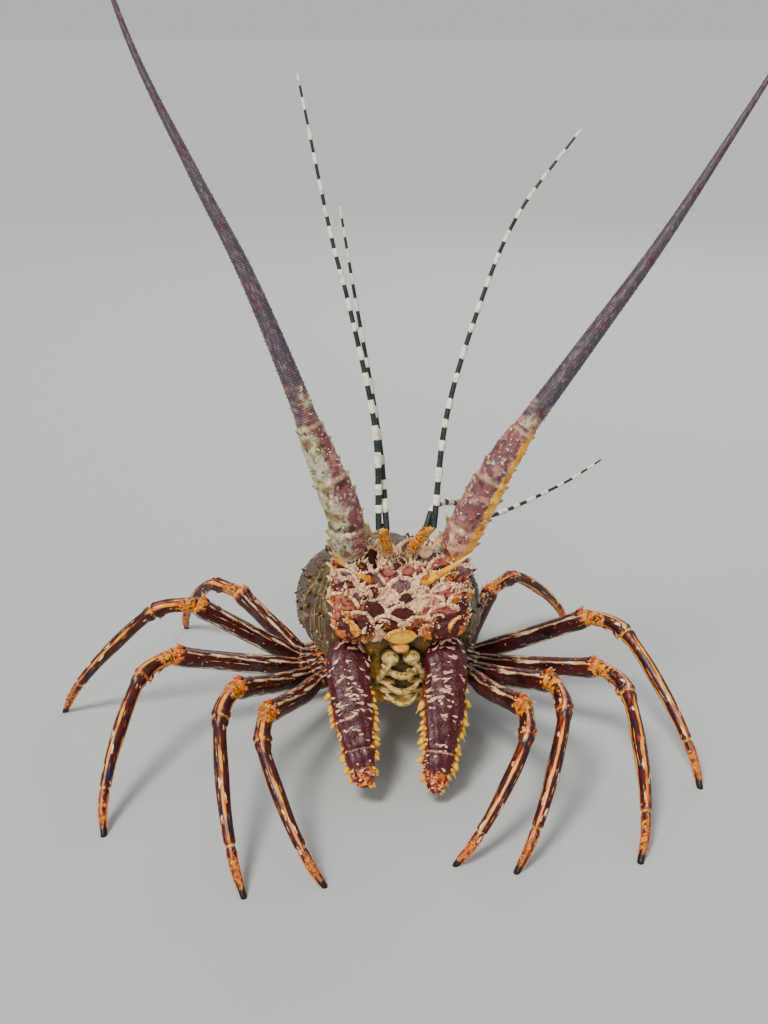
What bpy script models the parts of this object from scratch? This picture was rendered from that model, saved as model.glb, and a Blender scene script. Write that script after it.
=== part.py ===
"""A spiny lobster, life size, as a still museum model, in metres with +Z up.

The body lies along Y with its head at -Y, pitched head up. The animal's right side is at -X. The five pairs of
walking legs stand on the floor at z = 0, each in its own pose, and the two antennae are raised.
"""

import math
import random

import bmesh
import bpy
from mathutils import Vector

MM = 0.001
GAP = 0.3 * MM  # clearance between pieces that meet end to end
SOCKET_GAP = 0.5 * MM  # clearance round a piece sunk into another
SOCKET_CORNER = 2.5  # most that the clearance grows at a sharp corner
MERGE_DISTANCE = 0.002 * MM
SLIVER_DISTANCE = 0.001 * MM
SIDES = {"right": -1, "left": 1}
UP = Vector((0, 0, 1))
AHEAD = Vector((0, -1, 0))

# Body frame: s runs forward along the body, x to the animal's left and n up through its back
BODY_PITCH = math.radians(17)
BODY_CENTRE_Z = 58 * MM

# Carapace
CARAPACE_REAR = -58 * MM
CARAPACE_FRONT = 46 * MM
CARAPACE_HALF_WIDTH = 45.5 * MM
CARAPACE_TOP = 30.5 * MM
CARAPACE_MIDDLE = -6 * MM
CARAPACE_WIDTH_ALONG = [(0, 0.77), (0.36, 1.0), (0.68, 0.94), (1, 0.73)]
CARAPACE_TOP_ALONG = [(0, 0.80), (0.35, 0.97), (0.7, 1.0), (1, 0.93)]
CARAPACE_FLOOR_ALONG = [(0, -24 * MM), (0.66, -24 * MM), (1, -35 * MM)]
BACK_SQUARENESS = 0.78
BELLY_SQUARENESS = 0.62
BELLY_TUCK = 0.14  # share of the width drawn in at the carapace's floor
BELLY_TUCK_CURVE = 1.5
CARAPACE_SIDES = 24
CARAPACE_RINGS = 15
GROOVE_DEPTH = 2.4 * MM
GROOVE_WIDTH = 4.0 * MM
GROOVE_AT = 0 * MM
GROOVE_SWEEP = 24 * MM
GROOVE_CURVE = 1.5
GROOVE_END = -0.15  # share of the way up the side where the groove begins
GROOVE_FADE = 0.4

# Spines: length and root radius
SPINE_LARGE = (6.6 * MM, 2.2 * MM)
SPINE_MEDIUM = (5.0 * MM, 1.8 * MM)
SPINE_SMALL = (3.4 * MM, 1.35 * MM)
SPINE_FINE = (2.2 * MM, 0.8 * MM)
SPINE_SIDES = 4
SPINE_SCALES = (0.85, 1.15)
SPINE_STANDS_AT = 0.9  # share of a tube's radius
CARAPACE_SPINE_ROWS = [12, 36, 62, 84]  # degrees round from the middle of the back
CARAPACE_SPINE_START = -46 * MM
CARAPACE_SPINE_PITCH = 15 * MM
CARAPACE_SPINES_A_ROW = 6
CARAPACE_SPINE_END = CARAPACE_FRONT - 4 * MM
CARAPACE_SPINE_JITTER = 1.2
CARAPACE_SPINE_STRAY = 2.5  # degrees
CARAPACE_SPINE_LEAN = 1.1
CARAPACE_SPINE_SCALE = 0.7
CARAPACE_SPINE_GROWTH = 0.1
FRONT_EDGE_SPINES = [52, 74]  # degrees round from the middle of the back
FRONT_EDGE_MARGIN = 6 * MM
FRONT_EDGE_LEAN = 0.55
HORN_RADIUS = 3.6 * MM
HORN_DEPTH = 4.8 * MM
HORN_TAPER = [(0, 1.0), (0.4, 0.85), (0.75, 0.45), (1, 0.1)]
HORN_PATH = [(35, 12.5, 23), (44, 12.5, 30.5), (51, 12.8, 36.5), (55, 13.2, 43)]  # s, x and n in millimetres
HORN_RINGS = 6
HORN_SIDES = 8
ROSTRUM_LENGTH = 7.5 * MM
ROSTRUM_MARGIN = 3 * MM
ROSTRUM_RISE = 0.9

# Underside of the thorax
STERNUM_FLOOR_ALONG = [(0, -29 * MM), (0.25, -36 * MM), (0.8, -38 * MM), (1, -43 * MM)]
STERNUM_FRONT = 36 * MM
STERNUM_REAR = -54 * MM
STERNUM_HALF_WIDTH = [(0, 22 * MM), (0.5, 18 * MM), (1, 13 * MM)]
STERNUM_RINGS = 10
STERNUM_STEP = 0.9 * MM
STERNUM_OUTLINE = [(1.2, 0.0), (1.3, 0.5), (1.0, 0.88), (0.4, 1.0)]  # share of the half-width and of the depth

# Face: overlapping plates, in rows from the mouth up
PLATE_ROWS = 6
PLATE_STEP = 0.13
PLATE_SLANT = 0.24  # rise of a row of plates for each step outward
PLATE_PROFILE = [(0.0, 0.0), (0.45, 0.75), (0.88, 1.0)]  # share of a row, and how far out it stands there
FACE_HALF_WIDTH = 11.1 * MM
FACE_LOW = -11.5 * MM
FACE_HIGH = 27 * MM
FACE_WIDTH_ALONG = [(0, 0.92), (0.3, 1.0), (0.75, 1.0), (1, 1.1)]
FACE_OUTLINE = [(0, 1.0), (0.72, 1.0), (0.96, 0.7), (1.0, 0.25)]  # share of the depth and of the half-width
FACE_SPINE_X = (4.0 * MM, 5.6 * MM)
FACE_SPINE_LEVEL = 0.8  # share of a row
FACE_SPINE_SUNK = 0.9  # share of the face's depth
FACE_SPINE_WAY = (1, 0.2, 0.75)
FACE_DEPTH_ALONG = [(0, 11 * MM), (0.35, 15.5 * MM), (0.75, 13.5 * MM), (1, 8 * MM)]
ANTENNA_BASE_X = 21.2 * MM
ANTENNA_BASE_LOW = (55.7 * MM, -10 * MM)  # s and n of its lower end
ANTENNA_BASE_HIGH = (57 * MM, 29.5 * MM)
ANTENNA_BASE_HALF_WIDTH = 10.0 * MM
ANTENNA_BASE_DEPTH = 9.0 * MM
ANTENNA_BASE_ALONG = [(0, 0.76), (0.2, 0.96), (0.55, 1.0), (0.85, 0.94), (1, 0.76)]
ANTENNA_BASE_SIDES = 10
BASE_SQUARENESS = 0.75
BASE_SPINE_TURNS = ((-8, 28, 62), (10, 46))  # degrees outward from the front, on odd and even rows
BASE_SPINE_LEVEL = 0.84  # share of a row
BASE_SPINE_ROUND = 0.8
BASE_SPINE_SINK = 0.8 * MM
BASE_SPINE_LEAN = 0.8
BROW_SPINE = {"right": (11 * MM, 2.0 * MM), "left": (21 * MM, 2.5 * MM)}
BROW_ROOT = (64, 15.5, 19)  # s, x and n in millimetres
BROW_TIP = (80, 38, 32.5)
MOUTH_RADIUS = 4.8 * MM
MOUTH_FLATNESS = 0.8
MOUTH_RINGS = 3
MOUTH_SIDES = 6
MOUTH_TAPER = [(0, 0.7), (0.45, 1.0), (0.85, 0.85), (1, 0.4)]
MOUTH_LOBES = [
    ((47.8, 3.6, -16), (59.4, 2.7, -16.6)),
    ((47.8, 3.6, -21), (59.2, 2.7, -22)),
    ((47.8, 3.6, -26), (58.5, 2.6, -28)),
    ((48.2, 3.4, -31), (57, 2.6, -34)),
    ((48.7, 7.4, -26), (56, 6.4, -31.5)),
]
EYE_RADIUS = 4.3 * MM
EYE_STALK_RADIUS = 2.8 * MM
EYE_STALK_SHARE = 0.42
EYE_END = 0.1  # least share of the radius squared, at both ends of the globe
EYE_RINGS = 9
EYE_SIDES = 8
EYE_ROOT = (43, 11, 27)
EYE_TIP = (55.5, 12.4, 32.5)

# Antennae, as points along each in millimetres after its root on the head
ANTENNA_POINTS = {
    "right": [
        (-24.6, -57, 125),
        (-35.3, -57.5, 155.4),
        (-47.8, -56, 191),
        (-64, -49.8, 231),
        (-83, -42, 269.2),
        (-107, -28, 321.3),
        (-131, 0, 398),
    ],
    "left": [
        (31.5, -57.5, 126),
        (46.8, -57.1, 154.2),
        (75.5, -53, 193.8),
        (106, -47, 234.8),
        (133.6, -39, 274.5),
        (168.5, -25.5, 325),
        (196, -8, 362),
    ],
}
ANTENNA_STEPS = 200
ANTENNA_ROOT = (59.5, 22.8, 26.5)  # s, x and n in millimetres
ANTENNA_STALK_SHARE = 0.22
ANTENNA_STALK_RADIUS = 7.9 * MM
ANTENNA_STALK_ALONG = [(0, 0.78), (0.2, 1.0), (0.5, 0.98), (0.8, 0.82), (1, 0.64)]
ANTENNA_STALK_SEGMENTS = 3
ANTENNA_STALK_WAIST = 0.06
ANTENNA_STALK_FLATNESS = 0.92
ANTENNA_STALK_RINGS = 12
ANTENNA_STALK_SIDES = 10
ANTENNA_STALK_BARE = 3  # rings at its root without spines
ANTENNA_STALK_SPINE_TURNS = ((0, 180), (0, 180, 55, 120))  # degrees, on every second ring in turn
ANTENNA_STALK_SPINE_STRAY = 6  # degrees
ANTENNA_STALK_SPINE_SCALES = (0.85, 1.1)
ANTENNA_STALK_SPINE_LEAN = 0.8
ANTENNA_LASH_PARTS = {"lash": (ANTENNA_STALK_SHARE, 0.5, 9, 7), "whip": (0.5, 1, 11, 6)}  # start, end, rings, sides
ANTENNA_LASH_SPINE_LEAN = 1.3
ANTENNA_LASH_RADIUS = 4.6 * MM
ANTENNA_TIP_RADIUS = 0.6 * MM
ANTENNA_TAPER = 2.2
ANTENNA_FULLNESS = 1.1

# Antennules: the top of each stalk, then the points of its two lashes, in millimetres
ANTENNULE_ROOTS = [(52, 5.2, 21.5), (59.5, 5.2, 30)]  # s, x and n in millimetres
ANTENNULE_TOPS = {"right": (-8.6, -62, 121), "left": (11.6, -62, 121)}
ANTENNULE_POINTS = {
    ("right", "outer"): [(-11.5, -58, 164), (-21, -51, 213), (-28.5, -46, 244), (-40, -35, 304)],
    ("right", "inner"): [(-9.5, -50, 160), (-19, -33, 222), (-23.5, -26, 252)],
    ("left", "outer"): [(19, -55, 168), (33, -47, 213), (49, -41, 249), (75, -34, 282)],
    ("left", "inner"): [(15, -53, 127), (26, -37, 122), (43, -20, 108), (85, 12, 111), (110, 29, 118)],
}
ANTENNULE_ROOT_OFFSET = {"outer": 1.7 * MM, "inner": -1.7 * MM}
ANTENNULE_STALK_RADIUS = 2.4 * MM
ANTENNULE_STALK_SEGMENTS = 3
ANTENNULE_STALK_SWELL = (0.9, 0.16)
ANTENNULE_STALK_BREADTH = 1.1
ANTENNULE_STALK_RINGS = 7
ANTENNULE_STALK_SIDES = 8
ANTENNULE_LASH_RADIUS = 1.4 * MM
ANTENNULE_TIP_RADIUS = 0.55 * MM
ANTENNULE_TAPER = 0.8
ANTENNULE_LASH_RINGS = 16
ANTENNULE_LASH_SIDES = 5

# Third maxillipeds: points after the root, in millimetres
MAXILLIPED_POINTS = {
    "right": [(-23.5, -55, 52.5), (-22, -74, 32), (-18.5, -92, 11.5)],
    "left": [(20.5, -55, 52), (16.8, -75, 30), (11.5, -93, 8)],
}
MAXILLIPED_ROOT = (38, 18.5, -13)  # s, x and n in millimetres
MAXILLIPED_HALF_WIDTH = 9.8 * MM
MAXILLIPED_FLATNESS = 0.62
MAXILLIPED_ALONG = [(0, 0.72), (0.2, 1.0), (0.5, 0.95), (0.8, 0.70), (0.93, 0.52), (1, 0.24)]
MAXILLIPED_HEAD_SHARE = 0.33  # of its length, where only the outer edge has spines
MAXILLIPED_HEAD_BARE = 3  # rings at its root without spines
MAXILLIPED_PARTS = {"upper": (0, 0.76, 10), "lower": (0.76, 1, 4)}  # start, end and rings
MAXILLIPED_STEPS = 100
MAXILLIPED_SIDES = 10
MAXILLIPED_SQUARENESS = 0.85
MAXILLIPED_EDGES = (4, 176)  # degrees from its outer side on the animal's right
MAXILLIPED_FRONTS = ((90,), (62, 118))  # degrees, on even and odd rings
MAXILLIPED_SPINE_SCALES = (0.8, 1.1)
MAXILLIPED_LOWER_SCALE = 0.8
MAXILLIPED_SPINE_LEAN = 0.45
MAXILLIPED_TILT = Vector((0, -1, 0.25))

# Legs: s and x of each hip in millimetres, then each knee and foot
HIPS = [(21, 19.5), (5, 21.5), (-11, 23), (-27, 24.5), (-43, 26)]
HIP_LEVEL = -30 * MM
KNEES = {
    "right": [(-61, -85, 46), (-75, -71, 51), (-105, -31, 48), (-95, -3, 61), (-76, 52, 42)],
    "left": [(51, -89, 46), (66, -77, 51), (95, -49, 42), (98, -13, 51), (60, 50, 39)],
}
FEET = {
    "right": [(-39, -143), (-71, -147), (-131, -101), (-163, 6), (-108, 96)],
    "left": [(15, -134), (39, -141), (91, -139), (133, -88), (110, 84)],
}
COXA_REACH = 17 * MM
COXA_DROP = 0.12
COXA_TURN = 0.22  # share of the leg's heading that its coxa follows
COXA_SUNK = 0.12  # share of its reach inside the body
COXA_RADIUS = 5.5 * MM
MERUS_RADIUS = 4.2 * MM
KNEE_RADIUS = 3.4 * MM
PROPODUS_RADIUS = 2.9 * MM
ANKLE_RADIUS = 2.2 * MM
FOOT_RADIUS = 1.3 * MM
UPPER_LEG_ALONG = [
    (0, COXA_RADIUS),
    (0.16, COXA_RADIUS * 0.92),
    (0.27, MERUS_RADIUS * 0.84),
    (0.42, MERUS_RADIUS),
    (0.85, MERUS_RADIUS * 0.96),
    (0.93, MERUS_RADIUS * 1.04),
    (1, KNEE_RADIUS),
]
LOWER_LEG_ALONG = [
    (0, KNEE_RADIUS * 0.98),
    (0.10, KNEE_RADIUS * 0.92),
    (0.19, PROPODUS_RADIUS * 1.18),
    (0.27, PROPODUS_RADIUS * 0.92),
    (0.45, PROPODUS_RADIUS),
    (0.73, ANKLE_RADIUS * 1.06),
    (0.80, ANKLE_RADIUS * 0.86),
    (1, FOOT_RADIUS),
]
CARPUS_LENGTH = 19 * MM
CARPUS_DROP = 1.15
LOWER_LEG_BOW = 4.5 * MM
LOWER_LEG_BOWS = [(0.45, 1.0), (0.8, 0.85)]  # share of the way from wrist to foot, and of the bow there
MERUS_SAG = 1.5 * MM
MERUS_SAG_AT = 0.35
LEG_DEPTH = 1.12  # depth of a leg over its width
LEG_SIDES = 8
UPPER_LEG_RINGS = 9
LOWER_LEG_RINGS = 11
KNEE_SPINE_LEAN = 0.7
KNEE_SPINE_TOP = 0.85  # share of the merus's radius
KNEE_SPINE_SIDE = 0.75

# Abdomen, by segment: length, half-width, height above and depth below its axis
ABDOMEN_SEGMENTS = [
    (16 * MM, 34.5 * MM, 22.0 * MM, 15.0 * MM),
    (20 * MM, 34.5 * MM, 21.5 * MM, 15.0 * MM),
    (20 * MM, 33.0 * MM, 20.0 * MM, 13.5 * MM),
    (19 * MM, 30.5 * MM, 18.0 * MM, 11.0 * MM),
    (18 * MM, 27.5 * MM, 15.5 * MM, 9.0 * MM),
    (21 * MM, 23.5 * MM, 12.5 * MM, 7.0 * MM),
]
ABDOMEN_SLOPES = [17, 19, 19, 16, 12, 8]  # degrees down, by segment
ABDOMEN_TURNS = [1, 2.5, 4, 5.5, 6.5, 7]  # degrees to the animal's left, by segment
ABDOMEN_END = (20 * MM, 7.5 * MM, 4.5 * MM)  # half-width, height and depth at the tail fan
ABDOMEN_START = 1 * MM
SEGMENT_SWELL = [0.955, 0.975, 0.945, 0.99, 1.0, 0.985]
SEGMENT_TAPER = 0.8  # share of the step to the next segment's size that is made along this one
SEGMENT_ARC_SIDES = 14
SEGMENT_SQUARENESS = 0.82
SEGMENT_UNDERSIDE = [(0.99, 0.3), (0.93, 0.85), (0.78, 0.98), (0.4, 0.75)]  # share of half-width and depth
PLEURON_AT = 0.52  # share of the segment's length
PLEURON_OUT = 0.9
PLEURON_DOWN = 0.4
PLEURON_LENGTH = 17 * MM
PLEURON_RISE = 3 * MM
PLEURON_AHEAD = 5.0 * MM
PLEURON_BEHIND = 4.6 * MM
PLEURON_MIDDLE = (5.4 * MM, 0.4)
PLEURON_SWEEP = 5 * MM
PLEURON_HALF_THICKNESS = 1.4 * MM
PLEURON_TAPER = [1, 1, 0.9, 0.35]
FLOOR_CLEARANCE = 1.4 * MM
SWIMMERET_SEGMENTS = (1, 2, 3, 4)
SWIMMERET_ROOT = (0.25, 0.5)  # share of the segment's length and of its half-width
SWIMMERET_TIP = (0.92, 0.56)
SWIMMERET_LEVEL = 0.62
SWIMMERET_DROP = 3 * MM
SWIMMERET_HALF_WIDTH = 5.6 * MM
SWIMMERET_ALONG = [(0, 0.4), (0.5, 1.0), (1, 0.4)]
SWIMMERET_HALF_THICKNESS = 0.9 * MM
SWIMMERET_RINGS = 3
SWIMMERET_SIDES = 6

# Tail fan: height over the axis, slab thickness, length and half-widths along, then each leaf's swing out
TELSON_RISE = 2.4 * MM
TELSON_THICKNESS = 3.4 * MM
TELSON_LENGTH = 45 * MM
TELSON_HALF_WIDTH = [(0, 12 * MM), (0.3, 14.5 * MM), (0.8, 13.5 * MM), (0.95, 11 * MM), (1, 8.5 * MM)]
LEAF_THICKNESS = 2.0 * MM
LEAF_LENGTH = 42 * MM
LEAF_WIDTH_ALONG = [(0, 0.3), (0.25, 0.78), (0.7, 1.0), (0.92, 0.74), (1, 0.48)]
LEAVES = {
    "inner": (9.5 * MM, 9, -0.8 * MM, 11.0 * MM),
    "outer": (13.0 * MM, 21, -3.8 * MM, 11.5 * MM),
}
LEAF_THINNING = 0.5
LEAF_CROWN = 0.5
LEAF_BELLY = 0.25
FAN_RINGS = 7
FAN_COLUMNS = 4

# Smooth shading up to this angle between faces
SHARP_ANGLE = math.radians(40)

# Boolean solver of the nodes with many spines, on which EXACT leaves open edges
MANY_PIECES = "MANIFOLD"

rng = random.Random(11)


# ---------------------------------------------------------------- curves


def body(s, x, n):
    """A point of the body frame in the world."""
    c, t = math.cos(BODY_PITCH), math.sin(BODY_PITCH)
    return Vector((x, n * t - s * c, BODY_CENTRE_Z + s * t + n * c))


def body_direction(s, x, n):
    return (body(s, x, n) - body(0, 0, 0)).normalized()


def on_side(point, sign):
    """The place on one side of a body point given in millimetres for the left."""
    s, x, n = point
    return body(s * MM, sign * x * MM, n * MM)


def in_metres(points):
    return [Vector(point) * MM for point in points]


def smooth_step(t):
    t = min(1.0, max(0.0, t))
    return t * t * (3 - 2 * t)


def blend(stations, t):
    """The value at t of a smooth curve through (t, value) stations."""
    for (t0, v0), (t1, v1) in zip(stations, stations[1:]):
        if t <= t1:
            return v0 + (v1 - v0) * smooth_step((t - t0) / (t1 - t0))
    return stations[-1][1]


def superellipse(angle, squareness):
    """A unit point at this angle, round at squareness 1 and boxier below it."""
    c, s = math.cos(angle), math.sin(angle)
    return math.copysign(abs(c) ** squareness, c), math.copysign(abs(s) ** squareness, s)


def smooth_line(points, count, steps=24):
    """count + 1 evenly spaced points along a smooth curve through the given ones."""
    ext = [2 * points[0] - points[1], *points, 2 * points[-1] - points[-2]]
    fine = []
    for p0, p1, p2, p3 in zip(ext, ext[1:], ext[2:], ext[3:]):
        for k in range(steps):
            t = k / steps
            straight = 2 * p1 + (p2 - p0) * t
            curve = (2 * p0 - 5 * p1 + 4 * p2 - p3) * t**2 + (3 * p1 - p0 - 3 * p2 + p3) * t**3
            fine.append((straight + curve) / 2)
    fine.append(points[-1].copy())
    return resample(fine, count)


def resample(fine, count):
    """count + 1 points at even distances along a polyline."""
    lengths = [0.0]
    for a, b in zip(fine, fine[1:]):
        lengths.append(lengths[-1] + (b - a).length)
    out, i = [], 0
    for k in range(count + 1):
        want = lengths[-1] * k / count
        while i < len(fine) - 2 and lengths[i + 1] < want:
            i += 1
        out.append(fine[i].lerp(fine[i + 1], (want - lengths[i]) / (lengths[i + 1] - lengths[i])))
    return out


def tangents(points, ends=(None, None)):
    """The direction of the line at each point, with the two end ones replaced where given."""
    found = [
        (points[min(i + 1, len(points) - 1)] - points[max(i - 1, 0)]).normalized() for i in range(len(points))
    ]
    found[0] = ends[0] or found[0]
    found[-1] = ends[1] or found[-1]
    return found


def cross_axes(direction, up):
    """The directions across a line and on its upper face."""
    across = direction.cross(up).normalized()
    return across, across.cross(direction)


# ---------------------------------------------------------------- solids


def mesh_object(name, bm):
    bmesh.ops.recalc_face_normals(bm, faces=bm.faces)
    mesh = bpy.data.meshes.new(name)
    bm.to_mesh(mesh)
    bm.free()
    obj = bpy.data.objects.new(name, mesh)
    bpy.context.scene.collection.objects.link(obj)
    return obj


def loft(name, rings):
    """A closed solid through rings of equal count."""
    bm = bmesh.new()
    rows = [[bm.verts.new(point) for point in ring] for ring in rings]
    for low, high in zip(rows, rows[1:]):
        for j in range(len(low)):
            k = (j + 1) % len(low)
            bm.faces.new((low[j], low[k], high[k], high[j]))
    bm.faces.new(rows[0][::-1])
    bm.faces.new(rows[-1])
    bmesh.ops.triangulate(bm, faces=list(bm.faces))
    return mesh_object(name, bm)


def tube(name, points, half_size, sides, up, ends=(None, None), squareness=1.0):
    """A solid round a line. half_size(t) gives its half-width and half-depth, with t from 0 to 1."""
    rings = []
    for i, (point, direction) in enumerate(zip(points, tangents(points, ends))):
        across, top = cross_axes(direction, up)
        width, depth = half_size(i / (len(points) - 1))
        ring = []
        for j in range(sides):
            c, s = superellipse(2 * math.pi * (j + 0.5) / sides, squareness)
            ring.append(point + across * (width * c) + top * (depth * s))
        rings.append(ring)
    return loft(name, rings)


def spine(root, direction, size, scale=1.0):
    """A pyramid spine with its root sunk by its own radius."""
    length, radius = size[0] * scale, size[1] * scale
    direction = direction.normalized()
    side = direction.orthogonal().normalized()
    other = direction.cross(side)
    start = root - direction * radius
    bm = bmesh.new()
    foot = []
    for j in range(SPINE_SIDES):
        a = 2 * math.pi * j / SPINE_SIDES
        foot.append(bm.verts.new(start + (side * math.cos(a) + other * math.sin(a)) * radius))
    tip = bm.verts.new(root + direction * length)
    for j in range(SPINE_SIDES):
        bm.faces.new((foot[j], foot[(j + 1) % SPINE_SIDES], tip))
    bm.faces.new(foot[::-1])
    return mesh_object("spine_piece", bm)


def spine_on_tube(points, k, turn, half_size, up, size, lean, scale=1.0):
    """A spine on a tube's point k, turned in degrees from its outer edge and leaning along it."""
    direction = tangents(points)[k]
    across, top = cross_axes(direction, up)
    width, depth = half_size(k / (len(points) - 1))
    c, s = math.cos(math.radians(turn)), math.sin(math.radians(turn))
    root = points[k] + (across * (width * c) + top * (depth * s)) * SPINE_STANDS_AT
    return spine(root, across * c + top * s + direction * lean, size, scale)


# ---------------------------------------------------------------- joining and cutting


def apply_modifiers(obj):
    graph = bpy.context.evaluated_depsgraph_get()
    mesh = bpy.data.meshes.new_from_object(obj.evaluated_get(graph))
    obj.modifiers.clear()
    old, obj.data = obj.data, mesh
    bpy.data.meshes.remove(old)


def shell_of(face, left):
    """The faces joined to this one, taken out of left."""
    shell, queue = {face}, [face]
    while queue:
        for edge in queue.pop().edges:
            for other in edge.link_faces:
                if other in left:
                    left.remove(other)
                    shell.add(other)
                    queue.append(other)
    return shell


def keep_largest(obj):
    """Keeps only the largest closed surface of the mesh."""
    bm = bmesh.new()
    bm.from_mesh(obj.data)
    bmesh.ops.remove_doubles(bm, verts=bm.verts, dist=MERGE_DISTANCE)
    bmesh.ops.dissolve_degenerate(bm, edges=bm.edges, dist=SLIVER_DISTANCE)
    left, shells = set(bm.faces), []
    while left:
        shells.append(shell_of(left.pop(), left))
    shells.sort(key=lambda shell: sum(face.calc_area() for face in shell))
    for shell in shells[:-1]:
        bmesh.ops.delete(bm, geom=list(shell), context="FACES")
    bmesh.ops.triangulate(bm, faces=[f for f in bm.faces if len(f.verts) > 3])
    bm.to_mesh(obj.data)
    bm.free()


def combine(obj, pieces, operation, solver):
    """One Boolean of obj with a collection of closed pieces, applied, with the pieces then removed."""
    if not pieces:
        return obj
    group = bpy.data.collections.new("pieces")
    bpy.context.scene.collection.children.link(group)
    for piece in pieces:
        bpy.context.scene.collection.objects.unlink(piece)
        group.objects.link(piece)
    modifier = obj.modifiers.new("join", "BOOLEAN")
    modifier.operation = operation
    modifier.solver = solver
    modifier.operand_type = "COLLECTION"
    modifier.collection = group
    apply_modifiers(obj)
    for piece in pieces:
        bpy.data.objects.remove(piece)
    bpy.data.collections.remove(group)
    keep_largest(obj)
    return obj


def fuse(obj, pieces, solver="EXACT"):
    return combine(obj, pieces, "UNION", solver)


def room_for(obj):
    """A copy of obj grown evenly by the clearance, to cut room for it in its neighbours."""
    bm = bmesh.new()
    bm.from_mesh(obj.data)
    bm.normal_update()
    moves = [(v, v.normal * (SOCKET_GAP * min(SOCKET_CORNER, v.calc_shell_factor()))) for v in bm.verts]
    for v, move in moves:
        v.co += move
    cutter = mesh_object("room_piece", bm)
    cutter.hide_render = True
    cutter.display_type = "WIRE"
    return cutter


def make_room(obj, rooms, solver="EXACT"):
    """Cuts obj back by copies of the rooms, which leaves a socket where a neighbour sinks into it."""
    cutters = []
    for room in rooms:
        cutter = room.copy()
        cutter.data = room.data.copy()
        bpy.context.scene.collection.objects.link(cutter)
        cutters.append(cutter)
    return combine(obj, cutters, "DIFFERENCE", solver)


# ---------------------------------------------------------------- carapace


def groove_at(s, angle):
    """Depth of the cervical groove, which runs forward and down each side from the middle of the back."""
    line = GROOVE_AT + GROOVE_SWEEP * abs(math.cos(angle)) ** GROOVE_CURVE
    fade = smooth_step((math.sin(angle) - GROOVE_END) / GROOVE_FADE)
    return GROOVE_DEPTH * fade * math.exp(-(((s - line) / GROOVE_WIDTH) ** 2))


def carapace_share(s):
    return (s - CARAPACE_REAR) / (CARAPACE_FRONT - CARAPACE_REAR)


def carapace_floor(s):
    """The level of the carapace's underside."""
    return blend(CARAPACE_FLOOR_ALONG, carapace_share(s))


def carapace_point(s, angle):
    """A point on the carapace. Angle 0 is the animal's left side and 90 degrees the middle of the back."""
    t = carapace_share(s)
    width = CARAPACE_HALF_WIDTH * blend(CARAPACE_WIDTH_ALONG, t)
    top = CARAPACE_TOP * blend(CARAPACE_TOP_ALONG, t)
    c, n = superellipse(angle, BACK_SQUARENESS if math.sin(angle) > 0 else BELLY_SQUARENESS)
    reach = top - CARAPACE_MIDDLE if n > 0 else CARAPACE_MIDDLE - carapace_floor(s)
    inward = 1 - BELLY_TUCK * max(0.0, -n) ** BELLY_TUCK_CURVE
    shrink = 1 - groove_at(s, angle) / width
    return body(s, width * c * inward * shrink, CARAPACE_MIDDLE + reach * n * shrink)


def carapace_normal(s, angle):
    """The outward direction of the carapace's surface."""
    turn = math.radians(1)
    around = carapace_point(s, angle + turn) - carapace_point(s, angle - turn)
    along = carapace_point(s + MM, angle) - carapace_point(s - MM, angle)
    return around.cross(along).normalized()


def on_back(degrees, sign):
    """The angle this far round from the middle of the back, on one side."""
    return math.radians(90 - sign * degrees)


def carapace_spines():
    """Rows of spines along the back and sides, pointing forward and growing towards the front."""
    ahead, pieces = body_direction(1, 0, 0), []
    for row, degrees in enumerate(CARAPACE_SPINE_ROWS):
        for sign in SIDES.values():
            for k in range(CARAPACE_SPINES_A_ROW):
                jitter = rng.uniform(-CARAPACE_SPINE_JITTER, CARAPACE_SPINE_JITTER) * MM
                s = CARAPACE_SPINE_START + CARAPACE_SPINE_PITCH * (k + 0.5 * (row % 2)) + jitter
                if s > CARAPACE_SPINE_END:
                    continue
                stray = rng.uniform(-CARAPACE_SPINE_STRAY, CARAPACE_SPINE_STRAY)
                angle = on_back(degrees + stray, sign)
                direction = carapace_normal(s, angle) + ahead * CARAPACE_SPINE_LEAN
                scale = CARAPACE_SPINE_SCALE + CARAPACE_SPINE_GROWTH * k
                pieces.append(spine(carapace_point(s, angle), direction, SPINE_MEDIUM, scale))
    return pieces


def front_edge_spines():
    ahead, pieces = body_direction(1, 0, 0), []
    for degrees in FRONT_EDGE_SPINES:
        for sign in SIDES.values():
            angle = on_back(degrees, sign)
            s = CARAPACE_FRONT - FRONT_EDGE_MARGIN
            direction = carapace_normal(s, angle) + ahead * FRONT_EDGE_LEAN
            pieces.append(spine(carapace_point(s, angle), direction, SPINE_LARGE))
    return pieces


def horns():
    """The two strong horns over the eyes, curved up and forward, and the small rostral spine between."""
    pieces = []
    for sign in SIDES.values():
        path = [on_side(point, sign) for point in HORN_PATH]

        def half_size(t):
            k = blend(HORN_TAPER, t)
            return HORN_RADIUS * k, HORN_DEPTH * k

        line = smooth_line(path, HORN_RINGS)
        pieces.append(tube("horn_piece", line, half_size, HORN_SIDES, body_direction(0, 0, 1)))
    root = body(CARAPACE_FRONT - ROSTRUM_MARGIN, 0, CARAPACE_TOP * CARAPACE_TOP_ALONG[-1][1])
    pieces.append(spine(root, body_direction(1, 0, ROSTRUM_RISE), (ROSTRUM_LENGTH, SPINE_LARGE[1])))
    return pieces


def make_carapace():
    """The carapace with its spines and horns."""
    rings = []
    for i in range(CARAPACE_RINGS + 1):
        s = CARAPACE_REAR + (CARAPACE_FRONT - CARAPACE_REAR) * i / CARAPACE_RINGS
        turns = [2 * math.pi * (j + 0.5) / CARAPACE_SIDES for j in range(CARAPACE_SIDES)]
        rings.append([carapace_point(s, angle) for angle in turns])
    pieces = carapace_spines() + front_edge_spines() + horns()
    return fuse(loft("carapace", rings), pieces, MANY_PIECES)


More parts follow.
